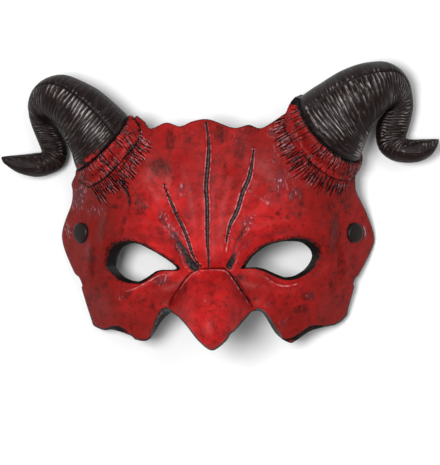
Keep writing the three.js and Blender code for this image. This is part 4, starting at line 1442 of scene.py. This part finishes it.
def painted_skin(paint, fine, ink):
    """Red with painted shade, washes of smoke and stain, worn places, black hollows, grey furrows, a painted
    sheen on cut edges, painted highlights on ridges and a pale scratch.
    """
    noise, spread, times, attribute = paint.noise, paint.spread, paint.times, paint.attribute
    streaked = paint.stretched(paint.place, (1, 0.35, 1))
    hatch = noise(900, 3, 0.6, streaked)
    blots = noise(420, 4, 0.65, streaked)
    middling = noise(330, 4, 0.6)
    clouds = noise(120, 5, 0.65)
    shade = attribute("shade")
    wash = paint.plus(attribute("wash"), spread(middling, 0.3, 0.7, -0.4, 0.25))
    worn = paint.plus(attribute("worn"), spread(blots, 0.3, 0.7, -0.45, 0.35))
    ragged = paint.plus(ink, spread(noise(480, 4, 0.6), 0.2, 0.8, -0.4, 0.3))
    light = times(attribute("light"), spread(noise(420, 3, 0.6), 0.36, 0.62, 0.12, 1))
    core = times(spread(wash, 0.2, 0.8), spread(blots, 0.46, 0.6, 0.05, 0.95))
    layers = [
        (spread(noise(70, 5, 0.6), 0.38, 0.68), DEEP_RED),
        # Painted shade where the face turns from the light, mixed with deeper red paint
        (shade, FLANK_SHADE),
        (times(spread(clouds, 0.5, 0.72), spread(fine, 0.35, 0.6, 0.3, 0.9)), SMOKE),
        (times(spread(noise(90, 4, 0.6), 0.54, 0.74), spread(shade, 0, 1, 0.55, 0.2)), HAZE),
        (times(spread(middling, 0.52, 0.72), spread(fine, 0.4, 0.6), 0.7), STAIN),
        (times(spread(wash, 0, 0.6), spread(hatch, 0.35, 0.6, 0.3, 0.85)), SMOKE),
        (times(core, spread(hatch, 0.4, 0.56, 0.15, 1)), STAIN),
        (times(spread(worn, 0.1, 0.9), spread(fine, 0.35, 0.6), 0.8), VIOLET),
        (times(attribute("worn"), spread(hatch, 0.56, 0.68, 0, 0.8)), PINK),
        (spread(ragged, 0.35, 0.75), BLACK),
        # Grey in the furrows, the folds and the edges; across cut edges partly a painted sheen
        (times(attribute("fill"), spread(fine, 0.42, 0.62, 0.1, 1)), GREY),
        # Painted highlights along ridges and edges, and the pale scratch
        (spread(light, 0.1, 0.8), PINK),
    ]
    red = BRIGHT
    for amount, colour in layers:
        red = paint.blend(amount, red, colour)
    return red


def painted_horn(paint, fine, ink, grain, on_horn):
    """Charcoal with black grooves, dry-brushed grey and painted highlights on the ribs and a few flecks of
    red.
    """
    noise, spread, times, attribute = paint.noise, paint.spread, paint.times, paint.attribute
    dashes = noise(1, 3, 0.55, paint.stretched(on_horn, (2.1, 1.3, 1)))
    brush_and_highlight = times(
        attribute("brush_and_highlight"), spread(dashes, 0.42, 0.6, 0.2, 1.25),
        spread(noise(260, 2, 0.5), 0.3, 0.6, 0.4, 1), spread(fine, 0.3, 0.6, 0.5, 1),
    )
    dark = paint.blend(noise(160, 3, 0.6), CHARCOAL, HORN_DARK)
    dark = paint.blend(spread(grain, 0.5, 0.68, 0, 0.7), dark, RUBBED)
    dark = paint.blend(times(ink, 0.85), dark, BLACK)
    # Dry-brushed grey and painted highlights on the rib crests
    dark = paint.blend(spread(brush_and_highlight, 0.08, 0.7), dark, BRUSH_GREY_AND_HIGHLIGHT)
    return paint.blend(times(attribute("fleck"), spread(noise(520, 2, 0.5), 0.5, 0.55)), dark, BRIGHT)


def foam_material():
    paint = Paint("painted_foam")
    horn = paint.attribute("horn")
    ink = paint.attribute("ink")
    fine = paint.noise(1100, 4, 0.65)
    around = paint.times(paint.attribute("around"), 0.11)
    on_horn = paint.node("CombineXYZ", {"X": paint.attribute("along"), "Y": around})
    grain = paint.noise(1, 4, 0.6, on_horn)
    dark = painted_horn(paint, fine, ink, grain, on_horn)
    colour = paint.blend(horn, painted_skin(paint, fine, ink), dark)
    colour = paint.blend(paint.attribute("bare"), colour, RAW)
    rough = paint.spread(paint.noise(120, 3, 0.6), 0.3, 0.7, 0.36, 0.52)
    relief = paint.bump(paint.noise(260, 4, 0.6), 0.5, 0.0004)
    relief = paint.bump(paint.times(grain, horn), 0.6, 0.0006, relief)
    relief = paint.bump(paint.noise(1500, 4, 0.6), 0.5, 0.0002, relief)
    return paint.finish(colour, rough, relief, 0.11)


def stud_material():
    paint = Paint("stud_plastic")
    grain = paint.noise(1800)
    colour = paint.blend(grain, STUD_BROWN, STUD_PALE)
    rough = paint.spread(grain, 0.3, 0.7, 0.3, 0.5)
    return paint.finish(colour, rough, paint.bump(grain, 0.25, 0.0001), 0.2)


def stud(name, place):
    """A stud: its washer behind, its shank and its low, rounded head."""
    washer_top = -FOAM - STUD_GAP
    washer_low = washer_top - WASHER_THICK
    head = STUD_GAP + STUD_HEAD_THICK
    rounding = [
        (-0.15, STUD_GAP), (0, STUD_GAP + 0.2), (0, head - 0.95), (-0.25, head - 0.5), (-0.7, head - 0.2),
        (-1.3, head - 0.05), (-2.6, head + 0.08),
    ]
    profile = [
        (0, washer_low), (WASHER_RADIUS - 0.4, washer_low), (WASHER_RADIUS, washer_low + 0.4),
        (WASHER_RADIUS, washer_top), (STUD_SHANK_RADIUS, washer_top), (STUD_SHANK_RADIUS, STUD_GAP),
        *((STUD_HEAD_RADIUS + inset, height) for inset, height in rounding), (0, head + 0.15),
    ]
    return lathe(f"{name}_turned", profile, STUD_SIDES, on_skin(place))


def keep_inside(mesh, box):
    """Holds the tips and crests that the fine relief pushes out inside the solids' own box."""
    low, high = (np.array(corner) / MM for corner in box)
    places = np.clip(vertex_places(mesh), low, high)
    mesh.vertices.foreach_set("co", (places * MM).ravel().astype(np.float32))
    mesh.update()


mask = cast_mask()
mask.name = "mask_casting_foam"
keep_inside(mask.data, cad_box)
paint_marks(mask.data)
smooth_shading(mask.data, 50)
mask.data.materials.clear()
mask.data.materials.append(foam_material())
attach(mask, "root")
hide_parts("mask_casting")

plastic = stud_material()
for name, place in STUDS.items():
    piece = stud(name, place)
    smooth_shading(piece.data, 35)
    piece.data.materials.append(plastic)
    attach(piece, "root")
    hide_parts(name)

# A plain pale floor, soft lights and the camera at the photograph's angle; metres from here on
FLOOR_HALF = 5
floor_mesh = bpy.data.meshes.new("floor")
corners = [(x, y, 0) for x, y in ((-1, -1), (1, -1), (1, 1), (-1, 1))]
floor_mesh.from_pydata([[FLOOR_HALF * value for value in corner] for corner in corners], [], [(0, 1, 2, 3)])
floor = add_object("floor", floor_mesh)
pale = bpy.data.materials.new("floor_pale")
pale.use_nodes = True
pale.node_tree.nodes["Principled BSDF"].inputs["Base Color"].default_value = (0.86, 0.86, 0.86, 1)
pale.node_tree.nodes["Principled BSDF"].inputs["Roughness"].default_value = 0.9
floor_mesh.materials.append(pale)

world = bpy.data.worlds.new("studio")
world.use_nodes = True
world.node_tree.nodes["Background"].inputs["Color"].default_value = (1, 1, 1, 1)
world.node_tree.nodes["Background"].inputs["Strength"].default_value = 0.35
bpy.context.scene.world = world


def area_light(name, place, size, power):
    """A square light aimed at the middle of the table."""
    lamp = bpy.data.lights.new(name, "AREA")
    lamp.size = size
    lamp.energy = power
    holder = add_object(name, lamp)
    holder.location = place
    holder.rotation_euler = (-Vector(place)).to_track_quat("-Z", "Y").to_euler()


area_light("key_light", (-0.33, 0.05, 1.5), 0.5, 21)
area_light("fill_light", (0.7, 0.5, 1.3), 0.8, 5)

CAMERA_AIM = Vector((0.0007, -0.0157, 0.030))
CAMERA_DISTANCE = 2.0
CAMERA_YAW = math.radians(2.4)
CAMERA_LENS = 274.05
camera_data = bpy.data.cameras.new("camera")
camera_data.lens = CAMERA_LENS
camera = add_object("camera", camera_data)
camera.location = CAMERA_AIM + CAMERA_DISTANCE * Vector((math.sin(CAMERA_YAW), 0, math.cos(CAMERA_YAW)))
camera.rotation_euler = (0, CAMERA_YAW, 0)
bpy.context.scene.camera = camera
bpy.context.scene.view_settings.view_transform = "Standard"
